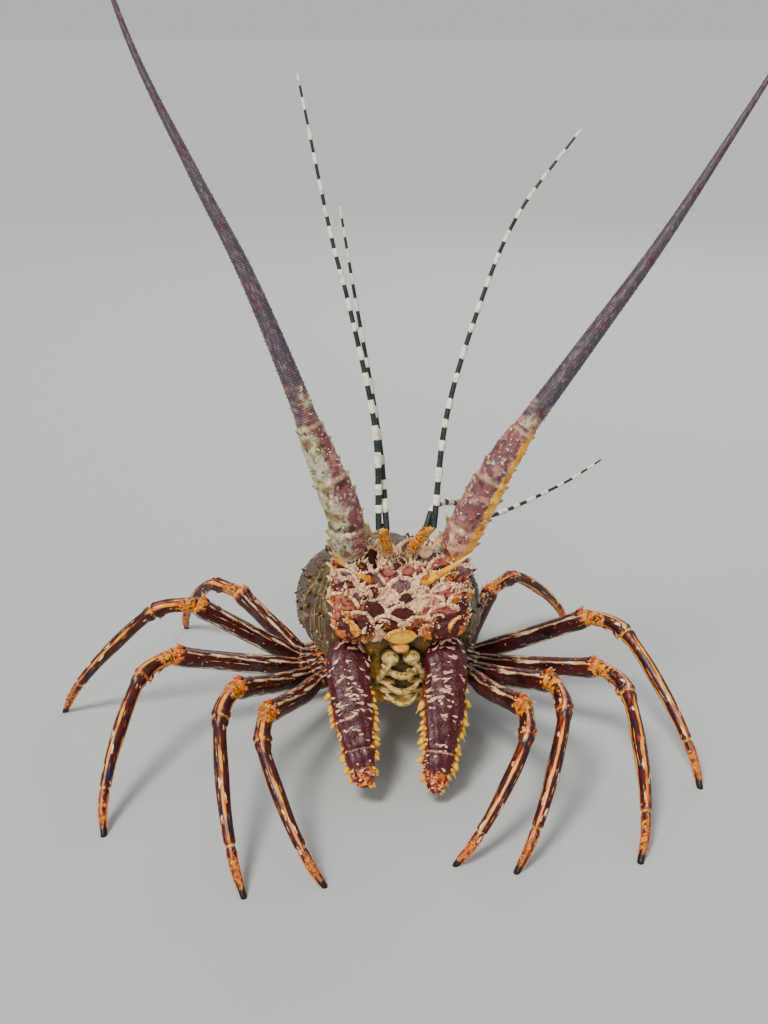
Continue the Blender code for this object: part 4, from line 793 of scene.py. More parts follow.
def leg_upper_finish():
    """Near-black maroon with thin cream lines, mottled orange at the joints."""
    f = Finish("leg_upper_finish", coat=0.15, coat_roughness=0.25)
    long_patches = f.noise(5, 4, 0.6, stretch=3)
    f.ground = f.tones(long_patches, DEEP_MAROON, (0.055, 0.006, 0.006), MAROON, DEEP_MAROON)
    f.lay(f.step(f.noise(6, 3, 0.6, stretch=4), 0.58, 0.68), SLATE, share=0.45)
    pale = f.tones(f.noise(3, 3, 0.6, stretch=3), PALE_OLIVE, CREAM, PALE_CREAM, DEEP_ORANGE)
    corner_lines(f, pale, 0.94, 0.7)
    edge_lines(f, f.tones(f.noise(4, 3, 0.6, stretch=3), DEEP_ORANGE, ORANGE, CREAM, MAROON), 1.0, 0.6)
    fine_lines = f.step(f.noise(1.3, 3, 0.6, stretch=12), 0.62, 0.67)
    f.lay(fine_lines, f.mottle(4, 3, PALE_OLIVE, CREAM, PALE_CREAM), share=0.7)
    f.lay(f.step(f.noise(1.8, 4, 0.6), 0.66, 0.70), f.mottle(5, 3, CREAM, PALE_CREAM, ORANGE))
    leg_joints(f, 0.42, MAROON, ORANGE, DEEP_ORANGE, YELLOW, MAROON)
    f.thorns(ORANGE, CREAM)
    return f.done(f.rough(0.25, 0.45), f.noise(0.8, 3, 0.6), 0.12)


def leg_lower_finish():
    """A near-black maroon core between orange and yellow lines, with cream patches and a dark claw."""
    f = Finish("leg_lower_finish", coat=0.15, coat_roughness=0.25)
    long_patches = f.noise(5, 4, 0.6, stretch=3)
    f.ground = f.tones(long_patches, NAVY, DEEP_MAROON, MAROON, DEEP_MAROON, DEEP_ORANGE)
    f.lay(f.step(f.noise(5, 3, 0.5, stretch=2), 0.61, 0.65), f.mottle(3, 3, ORANGE, CREAM, PALE_CREAM))
    lines = f.noise(4.5, 4, 0.6, stretch=3)
    corner_lines(f, f.tones(lines, DEEP_ORANGE, ORANGE, YELLOW, ORANGE, DEEP_ORANGE), 0.88, 0.9)
    edge_lines(f, f.tones(f.noise(3, 4, 0.6, stretch=3), MAROON, DEEP_ORANGE, ORANGE, MAROON), 1.04, 0.9)
    fine_lines = f.step(f.noise(1.3, 3, 0.6, stretch=9), 0.60, 0.66)
    f.lay(fine_lines, f.mottle(4, 3, CREAM, YELLOW, PALE_CREAM), share=0.8)
    leg_joints(f, 0.40, MAROON, ORANGE, YELLOW, DEEP_MAROON, ORANGE)
    f.lay(f.step(f.value("kind"), 0.35, 0.9), DEEP_MAROON)
    f.thorns(ORANGE, CREAM)
    return f.done(f.rough(0.25, 0.45), f.noise(0.8, 3, 0.6), 0.12)


def abdomen_finish():
    """Maroon-brown rings flecked with cream, pale along each rear edge."""
    f = Finish("abdomen_finish", coat=0.3)
    f.ground = f.mottle(10, 5, BROWN, MAROON, OLIVE, (0.14, 0.05, 0.03))
    f.lay(f.times(f.step(f.cells(2.6), 0.26, 0.15), f.step(f.noise(6, 2), 0.42, 0.55)), CREAM)
    rim = f.step(f.ragged("rim", 0.7, 2.5), 0.45, 0.62)
    f.lay(rim, f.mottle(4, 3, PALE_OLIVE, CREAM, ORANGE), share=0.9)
    f.lay(f.step(f.ragged("kind", 0.3, 3), 0.5, 0.6), PALE_CREAM)
    f.lay(f.value("warm"), f.mottle(4, 3, DEEP_ORANGE, ORANGE, PALE_OLIVE))
    f.thorns(ORANGE, YELLOW)
    return f.done(f.rough(0.3, 0.5), f.pores(1.5, -0.4, (0.7, 2), 0.5), 0.2)


def fan_finish():
    """Tail leaves: brown and maroon, barred with orange and cream towards the fringe."""
    f = Finish("fan_finish", coat=0.2)
    rays = f.noise(1.6, 3, 0.6, stretch=14)
    f.ground = f.mottle(8, 4, BROWN, MAROON, OLIVE)
    f.lay(f.step(rays, 0.5, 0.62), PALE_OLIVE, share=0.6)
    far = f.ragged("warm", 0.25, 4)
    bar = f.times(f.step(far, 0.45, 0.6), f.step(far, 0.86, 0.72))
    f.lay(bar, f.tones(rays, ORANGE, DEEP_ORANGE, YELLOW))
    f.lay(f.times(f.step(far, 0.72, 0.8), f.step(far, 0.97, 0.9)), DEEP_MAROON)
    f.lay(f.step(far, 0.92, 1.0), CREAM)
    f.lay(f.times(f.step(f.cells(3.2), 0.24, 0.14), f.step(far, 0.5, 0.35)), CREAM)
    f.thorns(ORANGE, YELLOW)
    return f.done(f.rough(0.35, 0.55), rays, 0.2)


def underside_finish():
    """Olive-yellow plates with cream rims and painted shade in the hollows, under the body and round the
    mouth.
    """
    f = Finish("underside_finish")
    f.ground = f.mottle(
        3, 5, (0.20, 0.10, 0.03), (0.30, 0.20, 0.045), (0.58, 0.42, 0.13), (0.50, 0.26, 0.05), PALE_OLIVE
    )
    f.lay(f.step(f.noise(2.2, 4), 0.56, 0.63), (0.07, 0.026, 0.012), share=0.8)
    pale = (CREAM, (0.56, 0.38, 0.10), (0.80, 0.64, 0.32), (0.44, 0.24, 0.06), CREAM)
    f.lay(f.step(f.ragged("rim", 1.2, 2.6, 4), 0.32, 0.62), f.mottle(3.4, 4, *pale))
    # painted shade: near-black maroon where kind is high, in the mouth hollow, the leaves' rears and the
    # sternum's grooves
    f.lay(f.value("kind"), f.mottle(3, 3, DEEP_MAROON, (0.02, 0.010, 0.006)))
    warm = f.times(f.value("warm"), f.step(f.noise(2.2), 0.42, 0.52))
    f.lay(warm, f.mottle(2, 3, YELLOW, ORANGE, YELLOW))
    f.thorns(PALE_OLIVE, CREAM)
    return f.done(f.rough(0.35, 0.6), f.noise(0.8, 3), 0.15)


def eye_finish():
    """Dark glossy facets on a mottled stalk."""
    f = Finish("eye_finish", coat=0.7, coat_roughness=0.08)
    f.ground = f.mottle(1.6, 3, INK, (0.06, 0.045, 0.035), SLATE, INK)
    f.lay(f.step(f.value("rim"), 0.4, 0.6), f.mottle(1.5, 3, BROWN, CREAM, ORANGE))
    return f.done(f.rough(0.1, 0.22), f.cells(0.28), 0.02)


# ---------------------------------------------------------------- carapace


def carapace_share(s):
    return (s - CARAPACE_REAR) / (CARAPACE_FRONT - CARAPACE_REAR)


def carapace_floor(s):
    return blend(CARAPACE_FLOOR_ALONG, carapace_share(s))


# place, depth and width of the grooves across both ends of the carapace, with ridges as grooves below 0
CARAPACE_RIDGES = [
    (CARAPACE_REAR + 8, 1.3, 1.6),
    (CARAPACE_REAR + 3.5, -0.8, 2.2),
    (CARAPACE_FRONT - 5, 0.7, 1.2),
    (CARAPACE_FRONT - 1.5, -0.6, 1.5),
]


def carapace_groove(s, turns):
    """Depth of the cervical groove, of those across both ends and of the line down the back."""
    line = GROOVE_SWEEP * np.abs(np.cos(turns)) ** 1.5
    across = GROOVE_DEPTH * bell(s, line, GROOVE_WIDTH) + bells(s, CARAPACE_RIDGES)
    middle = 0.5 * bell(np.cos(turns), 0, 0.03) * (np.sin(turns) > 0)
    return between(np.sin(turns), -0.15, 0.25) * across + middle


def carapace_point(s, turns, out=0.0):
    """Points on the carapace. Angle 0 is the animal's left side and 90 degrees the middle of the back."""
    s, turns = np.broadcast_arrays(np.asarray(s, float), np.asarray(turns, float))
    t = carapace_share(s)
    width = CARAPACE_HALF_WIDTH * blend(CARAPACE_WIDTH_ALONG, t)
    top = CARAPACE_TOP * blend(CARAPACE_TOP_ALONG, t)
    above = np.sin(turns) > 0
    c, n = superellipse(turns, np.where(above, BACK_SQUARENESS, BELLY_SQUARENESS))
    reach = np.where(above, top - CARAPACE_MIDDLE, CARAPACE_MIDDLE - carapace_floor(s))
    inward = 1 - 0.14 * np.maximum(0.0, -n) ** 1.5
    shrink = 1 + (out - carapace_groove(s, turns)) / width
    return body(s, width * c * inward * shrink, CARAPACE_MIDDLE + reach * n * shrink)


def carapace_normal(s, turns):
    turn = math.radians(1)
    around = carapace_point(s, turns + turn) - carapace_point(s, turns - turn)
    along = carapace_point(s + 1, turns) - carapace_point(s - 1, turns)
    return unit(np.cross(around, along))


# how far behind the front edge each of the fine pale arcs lies
CARAPACE_ARCS = (4, 7, 11, 16, 22, 29)


def make_carapace(finish):
    """The shell of the head and thorax: pebbled on its back, with pale arcs and edges, spines and horns."""
    shell, rows, columns = Shell(), 210, 300
    s = CARAPACE_REAR + (CARAPACE_FRONT - CARAPACE_REAR) * np.linspace(0, 1, rows)[:, None]
    turns = ((np.arange(columns) + 0.5) * TAU / columns)[None]
    height = np.sin(turns)
    pebble = 0.35 * np.sin(s * 1.7 + 3 * np.cos(turns * 9)) * np.sin(turns * 47 + s * 0.6)
    points = carapace_point(s, turns, pebble * between(height, 0.0, 0.3))
    bent = s + 1.2 * np.sin(4 * turns) + 0.6 * np.sin(11 * turns)
    arcs = sum(bell(bent, CARAPACE_FRONT - back, 0.55) for back in CARAPACE_ARCS)
    arcs = arcs * between(height, 0.9, 0.5) * between(height, -0.9, -0.5)
    edges = bell(s, CARAPACE_REAR + 2.5, 1.6) + bell(s, CARAPACE_FRONT - 1.0, 1.0)
    values = {
        "along": s + 60,
        "side": 10 * np.cos(turns),
        "top": 10 * height,
        "rim": 0.8 * (edges * between(height, -0.2, 0.2) + arcs),
        "warm": between(height, -0.25, -0.6) * between(s, 0, 30),
        "kind": between(s, CARAPACE_FRONT - 9, CARAPACE_FRONT - 2) * between(height, 0.86, 0.95),
    }
    shell.grid(points + carapace_normal(s, turns) * (0.35 * arcs)[..., None], values)
    add_carapace_spines(shell)
    add_horns(shell)
    shell.make("carapace_shell", finish, "shell", "carapace")


# degrees off the middle of the back of each row of spines, and where the rows begin and how far they run
SPINE_ROWS = (12, 24, 36, 49, 62, 73, 84, 95)
SPINE_ROW_START = -47
SPINE_ROW_LENGTH = 98
# and of the spines behind the front edge, and how many grains lie over the shell
FRONT_SPINES = (44, 58, 72, 84)
CARAPACE_GRAINS = 420


def add_carapace_spines(shell):
    """Rows of spines that point forward and grow towards the front, with grains between."""
    for row, degrees in enumerate(SPINE_ROWS):
        for sign in SIDES.values():
            add_spine_row(shell, row, degrees, sign)
    s = rng.uniform(CARAPACE_REAR + 9, CARAPACE_FRONT - 4, CARAPACE_GRAINS)
    turns = np.radians(90 - rng.choice([-1, 1], CARAPACE_GRAINS) * rng.uniform(2, 104, CARAPACE_GRAINS))
    ways = carapace_normal(s, turns) + BODY_AHEAD * 0.5
    sizes = rng.uniform(0.35, 0.8, CARAPACE_GRAINS)
    shell.stamp(GRAIN, carapace_point(s, turns), ways, sizes, sizes * 0.8, tip=0.0)
    for degrees in FRONT_SPINES:
        for sign in SIDES.values():
            s, turns = np.array([CARAPACE_FRONT - 5.0]), np.radians([90 - sign * degrees])
            ways = carapace_normal(s, turns) * 0.8 + BODY_AHEAD
            shell.stamp(THORN, carapace_point(s, turns), ways, 4.8, 1.5, BODY_AHEAD * 0.25)


def add_spine_row(shell, row, degrees, sign):
    """One row of spines on one side. Every other row is of strong ones."""
    strong = row % 2 == 0
    pitch = 15 if strong else 11
    k = np.arange(int(SPINE_ROW_LENGTH / pitch))
    s = SPINE_ROW_START + pitch * (k + 0.5 * (row // 2 % 2)) + rng.uniform(-1.3, 1.3, len(k))
    turns = np.radians(90 - sign * (degrees + rng.uniform(-2.5, 2.5, len(k))))
    keep = s < CARAPACE_FRONT - 5
    s, turns, share = s[keep], turns[keep], (k / len(k))[keep]
    lengths = (2.8 + 2.6 * share if strong else 1.1 + 1.3 * share) * rng.uniform(0.85, 1.15, len(s))
    ways = carapace_normal(s, turns) + BODY_AHEAD * 0.95
    shell.stamp(THORN, carapace_point(s, turns), ways, lengths, lengths * 0.30, BODY_AHEAD * 0.3)


HORN_ALONG = [(0, 1.0), (0.4, 0.82), (0.75, 0.45), (1, 0.05)]
HORN_HALF_WIDTH = 3.6
HORN_HALF_DEPTH = 4.7
# x of the small spines beside the horns, and how much higher each stands than the one in the middle
BROW_POINTS = [(4.5, 0.5), (20, -1.5), (26, -4.5)]


def add_horns(shell):
    """The two strong horns over the eyes, curved up and forward, and the small spines between and beside."""
    for sign in SIDES.values():
        line = smooth_line([on_side(point, sign) for point in HORN_PATH], 28)
        t = np.linspace(0, 1, len(line))
        size = blend(HORN_ALONG, t)
        points, values = tube(line, 20, HORN_HALF_WIDTH * size, HORN_HALF_DEPTH * size, BODY_UP)
        values["tip"] = between(t, 0.3, 1.0)[:, None]
        values["rim"] = (0.5 * bell(t, 0.22, 0.06))[:, None]
        shell.grid(points, values)
    s, n = CARAPACE_FRONT - 3, CARAPACE_TOP * CARAPACE_TOP_ALONG[-1][1]
    shell.stamp(THORN, [body(s, 0, n)], body_way(1, 0, 0.6), 4.0, 1.3)
    for x, rise in BROW_POINTS:
        for sign in SIDES.values():
            shell.stamp(THORN, [body(s, sign * x, n + rise)], body_way(1, sign * 0.15, 0.6), 3.0, 1.1)


# ---------------------------------------------------------------- face


# Rows of plates up the face: the height at its middle, the first plate's x and the colour kind, which is
# 0 for maroon, 0.3 for rose, 0.5 for cream, 0.75 for purple and 1 for grey-blue with a painted highlight
PLATE_ROWS = [
    (-9.0, 0.0, 0.28),
    (-3.2, 6.3, 0.22),
    (2.6, 0.0, 0.10),
    (8.4, 6.3, 0.50),
    (14.0, 0.0, 0.70),
    (19.6, 6.3, 0.52),
    (25.0, 0.0, 0.76),
    (29.5, 6.3, 0.78),
]
PLATE_PITCH = 12.6
PLATE_HALF_WIDTH = 7.4
PLATE_HALF_HEIGHT = 4.7
PLATE_DEPTH = 2.3
PLATE_CORNERS = 1.12
PLATE_TILT = 0.34
FACE_SIDE = 30.5
SMALL_PLATES = 26


# share of a plate's outline, height, lip's height and rim's colour, from the middle outward and down
PLATE_RINGS = [
    (0.28, 0.17, 0.0, 0.0),
    (0.50, 0.14, 0.0, 0.0),
    (0.62, 0.10, 0.02, 0.1),
    (0.70, 0.07, 0.12, 0.6),
    (0.78, 0.04, 0.28, 0.9),
    (0.87, 0.01, 0.36, 1.0),
    (0.95, -0.05, 0.30, 1.0),
    (1.00, -0.20, 0.14, 0.7),
    (1.00, -0.70, 0.0, 0.0),
    (0.70, -1.50, 0.0, 0.0),
]
PLATE_SIDES = 28
PLATE_CROWN = 0.18
PLATE_FOOT = -1.4
# degrees round a plate at which its spines stand, with the upper corner at 90
PLATE_SPINES = (8, 40, 66, 90, 114, 140, 172)


def plate_form():
    """A domed lozenge that faces +Z, its upper corner towards +Y, with a raised lip along its upper edges."""
    turns = np.arange(PLATE_SIDES) * TAU / PLATE_SIDES
    c, s = superellipse(turns, PLATE_CORNERS)
    lip = 0.10 + 0.90 * between(s, -0.2, 0.25)
    points, rims, insets = [(0.0, 0.0, PLATE_CROWN)], [0.0], [1.0]
    for share, height, raised, rim in PLATE_RINGS:
        points += list(zip(share * c, share * s, height + raised * lip + PLATE_TILT * share * s))
        rims += list(rim * lip)
        # inset runs from 1 at the crown to 0 at the edge and foot, where the face material paints shade
        # between the plates
        insets += [1 - share] * PLATE_SIDES
    points.append((0.0, 0.0, PLATE_FOOT))
    rims.append(0.0)
    insets.append(0.0)
    index = 1 + np.arange(len(PLATE_RINGS) * PLATE_SIDES).reshape(len(PLATE_RINGS), PLATE_SIDES)
    ahead = np.roll(index, -1, axis=1)
    quads = np.stack([index[:-1], index[1:], ahead[1:], ahead[:-1]], -1).reshape(-1, 4)
    triangles = fan(0, index[0], ahead[0]) + fan(len(points) - 1, ahead[-1], index[-1])
    return np.array(points), quads, np.array(triangles), {"rim": np.array(rims), "inset": np.array(insets)}


PLATE = plate_form()


def face_front(x, n):
    """How far forward the middle of the face or an antenna's base reaches at this place."""
    off_middle = np.abs(x)
    level = n - PLATE_SLANT * off_middle
    t = (level - FACE_LOW) / (FACE_HIGH - FACE_LOW)
    middle = CARAPACE_FRONT + blend(FACE_DEPTH_ALONG, t) * (1 - np.clip(off_middle / 15, 0, 1) ** 5) ** 0.2
    share = (level - ANTENNA_BASE_LOW[1]) / (ANTENNA_BASE_HIGH[1] - ANTENNA_BASE_LOW[1])
    k = blend(ANTENNA_BASE_ALONG, share)
    off = np.clip((off_middle - ANTENNA_BASE_X) / (ANTENNA_BASE_HALF_WIDTH * k), -1, 1)
    base = ANTENNA_BASE_LOW[0] + ANTENNA_BASE_DEPTH * k * (1 - np.abs(off) ** 3.6) ** (1 / 3.6)
    return np.maximum(middle, base)


def face_spot(x, n):
    """A place on the face, evened out, with the directions across, up and out of it."""

    def at(x, n):
        steps = np.linspace(-3.5, 3.5, 5)
        s = sum(face_front(x + i, n + j) for i in steps for j in steps) / len(steps) ** 2
        return body(s, x, n)

    right, up = at(x + 1.5, n) - at(x - 1.5, n), at(x, n + 1.5) - at(x, n - 1.5)
    out = unit(np.cross(right, up))
    across = unit(unit(right) + unit(up) * (0.42 * np.tanh(x / 6))[:, None])
    return at(x, n), across, np.cross(out, across), out


def lay_plates():
    """x, n, size and colour values of every plate, the two grey-blue ones under the antennae, with their
    painted highlight, last.
    """
    plates = []
    for level, first, kind in PLATE_ROWS:
        for x in first + PLATE_PITCH * np.arange(-4, 5):
            if abs(x) > FACE_SIDE:
                continue
            x = x + rng.uniform(-1.0, 1.0)
            n = level + PLATE_SLANT * abs(x) + rng.uniform(-0.6, 0.6)
            low, outer = between(n, 5, -5), between(abs(x), 15, 29)
            yellow = 0.8 * bell(n, -9.5, 3.5) * bell(x, 0, 6)
            fade = between(n, 24, 16)
            warm = (0.55 * low + 0.65 * outer + rng.uniform(-0.12, 0.15)) * fade + yellow
            own = rng.choice([kind, 0.05, 0.3, 0.5], p=[0.66, 0.12, 0.12, 0.10]) + rng.uniform(-0.05, 0.05)
            plates.append((x, n, rng.uniform(0.82, 1.12), own, warm))
    for _ in range(SMALL_PLATES):
        x, n = rng.uniform(-27, 27), rng.uniform(-4, 26)
        own = rng.choice([0.05, 0.3, 0.5, 0.72], p=[0.25, 0.15, 0.45, 0.15])
        warm = 0.5 * between(abs(x), 14, 26) + rng.uniform(-0.3, 0.5)
        plates.append((x, n + PLATE_SLANT * abs(x), rng.uniform(0.34, 0.52), own, warm))
    # the two grey-blue plates, of kind 1, whose pale grey mottle is a painted highlight
    plates += [(20.0 * sign, 31.5, 0.62, 1.0, 0.0) for sign in SIDES.values()]
    return np.array(plates)


FACE_PLATES = lay_plates()


def add_plates(shell, side_low, side_high):
    """The plates whose x lies between these, each with white points on its lip and at its corners."""
    x, n, size, kind, warm = FACE_PLATES[(FACE_PLATES[:, 0] >= side_low) & (FACE_PLATES[:, 0] < side_high)].T
    place, across, up, out = face_spot(x, n)
    place = place + out * (1.5 * between(size, 0.7, 0.5))[:, None]
    wide, high = PLATE_HALF_WIDTH * size, PLATE_HALF_HEIGHT * size * rng.uniform(0.85, 1.1, len(x))
    shell.copies(PLATE, place, (across, up, out), (wide, high, PLATE_DEPTH), kind=kind, warm=warm)
    for degrees in PLATE_SPINES:
        turn = math.radians(degrees) + rng.uniform(-0.12, 0.12, len(x))
        c, s = superellipse(turn, PLATE_CORNERS)
        lift = PLATE_DEPTH * (0.35 + PLATE_TILT * s)
        roots = place + across * (0.92 * wide * c)[:, None] + up * (0.92 * high * s)[:, None]
        roots = roots + out * lift[:, None]
        main = (degrees == 90) | ((np.sign(x) * c > 0) & (np.abs(c) > 0.85))
        strong, weak = rng.uniform(1.8, 3.8, len(x)), rng.uniform(0.5, 1.3, len(x))
        sizes = np.where(main, strong, weak) * np.sqrt(size)
        radii = sizes * np.where(main, 0.36, 0.42)
        ways = out * 0.9 + up * 0.7 + across * (0.5 * c)[:, None]
        shell.stamp(THORN, roots, ways, sizes, radii, up * 0.25, kind=kind, warm=warm, inset=0.5, rim=0.5)


def make_face_plate(finish):
    """The middle of the face, from the upper lip to the roots of the antennules."""
    shell, rows, columns = Shell(), 120, 120
    t = np.linspace(0, 1, rows)[:, None]
    turns = np.linspace(0, math.pi, columns)[None]
    c, s = superellipse(turns, 0.40)
    half = FACE_HALF_WIDTH * blend(FACE_WIDTH_ALONG, t)
    depth = blend(FACE_DEPTH_ALONG, t) * rounded_ends(t, 0.05, 0.04)
    x = half * c
    n = FACE_LOW + (FACE_HIGH - FACE_LOW) * t + PLATE_SLANT * np.abs(x)
    uneven = 0.3 * np.sin(1.9 * x + 0.6 * n) * np.sin(1.3 * n - 0.7 * x) * between(s, 0.2, 0.8)
    points = body(CARAPACE_FRONT - 0.5 + depth * s + uneven, x, n)
    upper = between(n, 22, 26)
    shell.grid(points, {"kind": 0.12 + 0.62 * upper, "warm": 0.35 * between(n, 2, -6), "inset": 0.5})
    add_plates(shell, -12, 12)
    add_face_grains(shell, points)
    shell.make("face_plates", finish, "face", "face_plate")


FACE_GRAINS = 110


def add_face_grains(shell, points):
    """Small pale grains over a piece, from its grid of points."""
    flat = points[4:-4].reshape(-1, 3)
    picked = flat[rng.choice(len(flat), FACE_GRAINS, replace=False)]
    sizes = rng.uniform(0.35, 0.7, FACE_GRAINS)
    shell.stamp(GRAIN, picked, picked - body(44, 0, 12), sizes, sizes * 0.9, kind=0.42, inset=0.5)


def make_antenna_base(side, sign, finish):
    """The big basal segments beside the face, with the same plates and rows of spines."""
    shell, rows, columns = Shell(), 120, 150
    low = body(ANTENNA_BASE_LOW[0], sign * ANTENNA_BASE_X, ANTENNA_BASE_LOW[1])
    high = body(ANTENNA_BASE_HIGH[0], sign * ANTENNA_BASE_X, ANTENNA_BASE_HIGH[1])
    lead = unit(high - low)
    across = unit(np.cross(lead, BODY_AHEAD))
    front = np.cross(across, lead)
    t = np.linspace(0, 1, rows)[:, None]
    turns = (np.arange(columns) * TAU / columns)[None]
    c, s = superellipse(turns, 0.55)
    k = blend(ANTENNA_BASE_ALONG, t) * (0.4 + 0.6 * rounded_ends(t, 0.06, 0.05))
    uneven = 0.35 * np.sin(5 * turns + 23 * t) * np.sin(41 * t - 3 * turns)
    out, deep = (ANTENNA_BASE_HALF_WIDTH * k - 0.5 + uneven) * c, (ANTENNA_BASE_DEPTH * k - 0.5 + uneven) * s
    middle = low + (high - low) * t[..., None] + lead * (PLATE_SLANT * sign * out)[..., None]
    points = middle + across * out[..., None] + front * deep[..., None]
    kind = 0.12 + 0.1 * np.sin(9 * t + 2 * turns)
    warm = 0.2 + 0.3 * between(sign * across[0] * c, 0.3, 1.0) + 0.3 * between(t, 0.3, 0.0)
    shell.grid(points, {"kind": kind, "warm": warm, "inset": 0.5})
    add_plates(shell, *sorted((12 * sign, 40 * sign)))
    add_face_grains(shell, points)
    add_base_spines(shell, sign, low, high, lead, across, front)
    brow, brow_tip = on_side(BROW_ROOT, sign), on_side(BROW_TIP, sign)
    shell.stamp(THORN, [brow], brow_tip - brow, *BROW_SPINE[side], UP * 0.12, warm=1.0, inset=0.5)
    shell.make(f"antenna_base_plates_{side}", finish, "face", f"antenna_base_{side}")


BASE_SPINE_SHARES = np.array([0.1, 0.24, 0.38, 0.52, 0.66, 0.8, 0.93])
# reach outward, reach forward and length of each row's spines
BASE_SPINE_ROWS = [(0.90, 0.45, 3.4), (1.0, 0.05, 3.0), (0.97, -0.35, 2.6)]


def add_base_spines(shell, sign, low, high, lead, across, front):
    """Rows of spines down the outer side."""
    outward = across * np.sign(across[0] * sign)
    shares = BASE_SPINE_SHARES[:, None]
    k = blend(ANTENNA_BASE_ALONG, shares)
    for out_share, front_share, length in BASE_SPINE_ROWS:
        roots = low + (high - low) * shares + outward * (ANTENNA_BASE_HALF_WIDTH * k * out_share - 0.8)
        roots = roots + front * (ANTENNA_BASE_DEPTH * k * front_share)
        roots = roots + lead * (PLATE_SLANT * ANTENNA_BASE_HALF_WIDTH * out_share)
        sizes = length * rng.uniform(0.7, 1.2, len(shares))
        way = outward + lead * 0.7 + front * 0.3
        shell.stamp(THORN, roots, way, sizes, sizes * 0.33, warm=0.6, inset=0.5)


# s, x and n of the rear and front end, half-width, half-height and bristles of each mouthpart
MOUTHPARTS = [
    ((47, 5.0, -18.5), (59.6, 4.6, -19.0), 4.0, 3.4, 0),
    ((47, 6.4, -24.4), (57.4, 5.8, -25.2), 3.6, 1.6, 20),
    ((47, 6.6, -28.6), (56.8, 6.2, -29.6), 3.6, 1.4, 22),
    ((47, 6.4, -32.4), (56.0, 5.9, -33.8), 3.6, 1.4, 22),
    ((47, 5.2, -35.8), (54.8, 4.6, -37.4), 3.6, 1.4, 0),
]
# level of the middle, reach to each side and thickness of the curved rims across the mouth
MOUTH_RIMS = [(-25.8, 8.6, 1.7), (-33.0, 8.4, 1.5), (-38.4, 7.6, 1.2)]
PALP = [(47, 9.6, -30), (55.5, 9.4, -26.5), (61, 7.4, -22.5), (62.2, 4.2, -18.5)]
PALP_JOINTS = [(0.35, 0.25, 0.03), (0.7, 0.25, 0.03)]
PALP_RIMS = [(0.33, 0.9, 0.03), (0.68, 0.9, 0.03)]
PALP_BRISTLES = 60


def make_mouth(finish):
    """The lip, the mandibles and the leaf-like mouthparts folded under them, over a hollow painted near-black
    as painted shade.
    """
    shell, bristles = Shell(), Shell()
    add_painted_shade_hollow(shell)
    add_upper_lip(shell)
    for rim in MOUTH_RIMS:
        add_mouth_rim(shell, *rim)
    for sign in SIDES.values():
        for rear, front, half, height, count in MOUTHPARTS:
            add_mouth_leaf(shell, bristles, on_side(rear, sign), on_side(front, sign), half, height, count)
        add_palp(shell, bristles, sign)
    shell.make("mouthparts", finish, "underside", "mandibles")
    bristles.make("mouth_bristles", finish, "underside")


def add_painted_shade_hollow(shell):
    line = straight(body(44, 0, -24), body(50.5, 0, -24), 16)
    k = np.sqrt(np.clip(1 - np.linspace(0, 1, len(line)) ** 2, 0.0001, 1))
    points, _ = tube(line, 40, 9.4 * k, 13 * k, BODY_UP)
    # painted shade: the hollow behind the mouthparts is painted near-black through the underside's dark kind
    shell.grid(points, {"kind": 0.75})


def add_upper_lip(shell):
    line = straight(body(46, 0, -13.4), body(61.5, 0, -14.2), 30)
    t = np.linspace(0, 1, len(line))
    k = rounded_ends(t, 0, 0.3)
    ripples = 0.15 * np.cos(t * 30)[:, None]
    points, values = tube(line, 40, 4.4 * k * (1 - 0.3 * t), 1.9 * k, BODY_UP, bumps=ripples)
    values["rim"] = between(np.abs(values["side"]), 0.5, 0.9) * 0.8
    values["warm"] = 0.55
    shell.grid(points, values)


def add_mouth_rim(shell, level, reach, thick):
    """A pale rim curved across the mouth, lowest in the middle."""
    across = np.linspace(-1, 1, 50)
    line = body(60.6 - 6.5 * across**2, reach * across, level + 4.4 * across**2)
    radius = thick * (1 - 0.7 * np.abs(across) ** 2.5)
    points, values = tube(line, 18, radius, radius * 1.3, BODY_AHEAD)
    values["rim"] = (0.15 + 0.5 * np.abs(across) ** 0.7)[:, None]
    shell.grid(points, values)


def add_mouth_leaf(shell, bristles, rear, front, half, height, count):
    """One leaf: a dome with a scalloped pale edge, painted shade over its rear, and bristles over it where it
    has them.
    """
    line = straight(rear, front, 40)
    t = np.linspace(0, 1, len(line))
    k = rounded_ends(t, 0, 0.32) * (1 - 0.12 * t)
    scallops, ripples = 1 + 0.06 * np.cos(t * 62), 0.12 * np.cos(t * 50)[:, None]
    points, values = tube(line, 34, half * k * scallops, height * k, BODY_UP, bumps=ripples)
    edge = between(np.abs(values["side"]), 0.85, 0.99)
    values["rim"] = np.clip(edge + 0.6 * between(t, 0.90, 0.98)[:, None], 0, 1) * 0.6
    # painted shade: the rear of the leaf, where it runs back into the hollow, is painted dark
    values["kind"] = 0.8 * between(t, 0.75, 0.4)[:, None]
    shell.grid(points, values)
    if count:
        angles, shares = rng.uniform(0, TAU, count), rng.uniform(0.84, 0.97, count)
        roots, out, ways = on_tube(line, shares, angles, half * k, height * k, BODY_UP)
        bristles.tufts(roots, out * 0.5 + ways, rng.uniform(1.1, 2.0, count), 0.12, angles / TAU, shares)


def add_palp(shell, bristles, sign):
    """A jointed palp at the side of the mouth, bent inward in front and bristly over its outer half."""
    line = smooth_line([on_side(point, sign) for point in PALP], 60)
    t = np.linspace(0, 1, len(line))
    radius = (1.7 - 0.9 * t) * (1 - bells(t, PALP_JOINTS)) * rounded_ends(t, 0, 0.06)
    points, values = tube(line, 16, radius, radius, UP)
    values["rim"] = (bells(t, PALP_RIMS) + 0.4)[:, None]
    shell.grid(points, values)
    shares, angles = rng.uniform(0.5, 1.0, PALP_BRISTLES), rng.uniform(0, TAU, PALP_BRISTLES)
    roots, out, ways = on_tube(line, shares, angles, radius, radius, UP)
    bristles.tufts(roots, out + ways * 1.4, rng.uniform(1.2, 2.2, PALP_BRISTLES), 0.13, angles / TAU, shares)


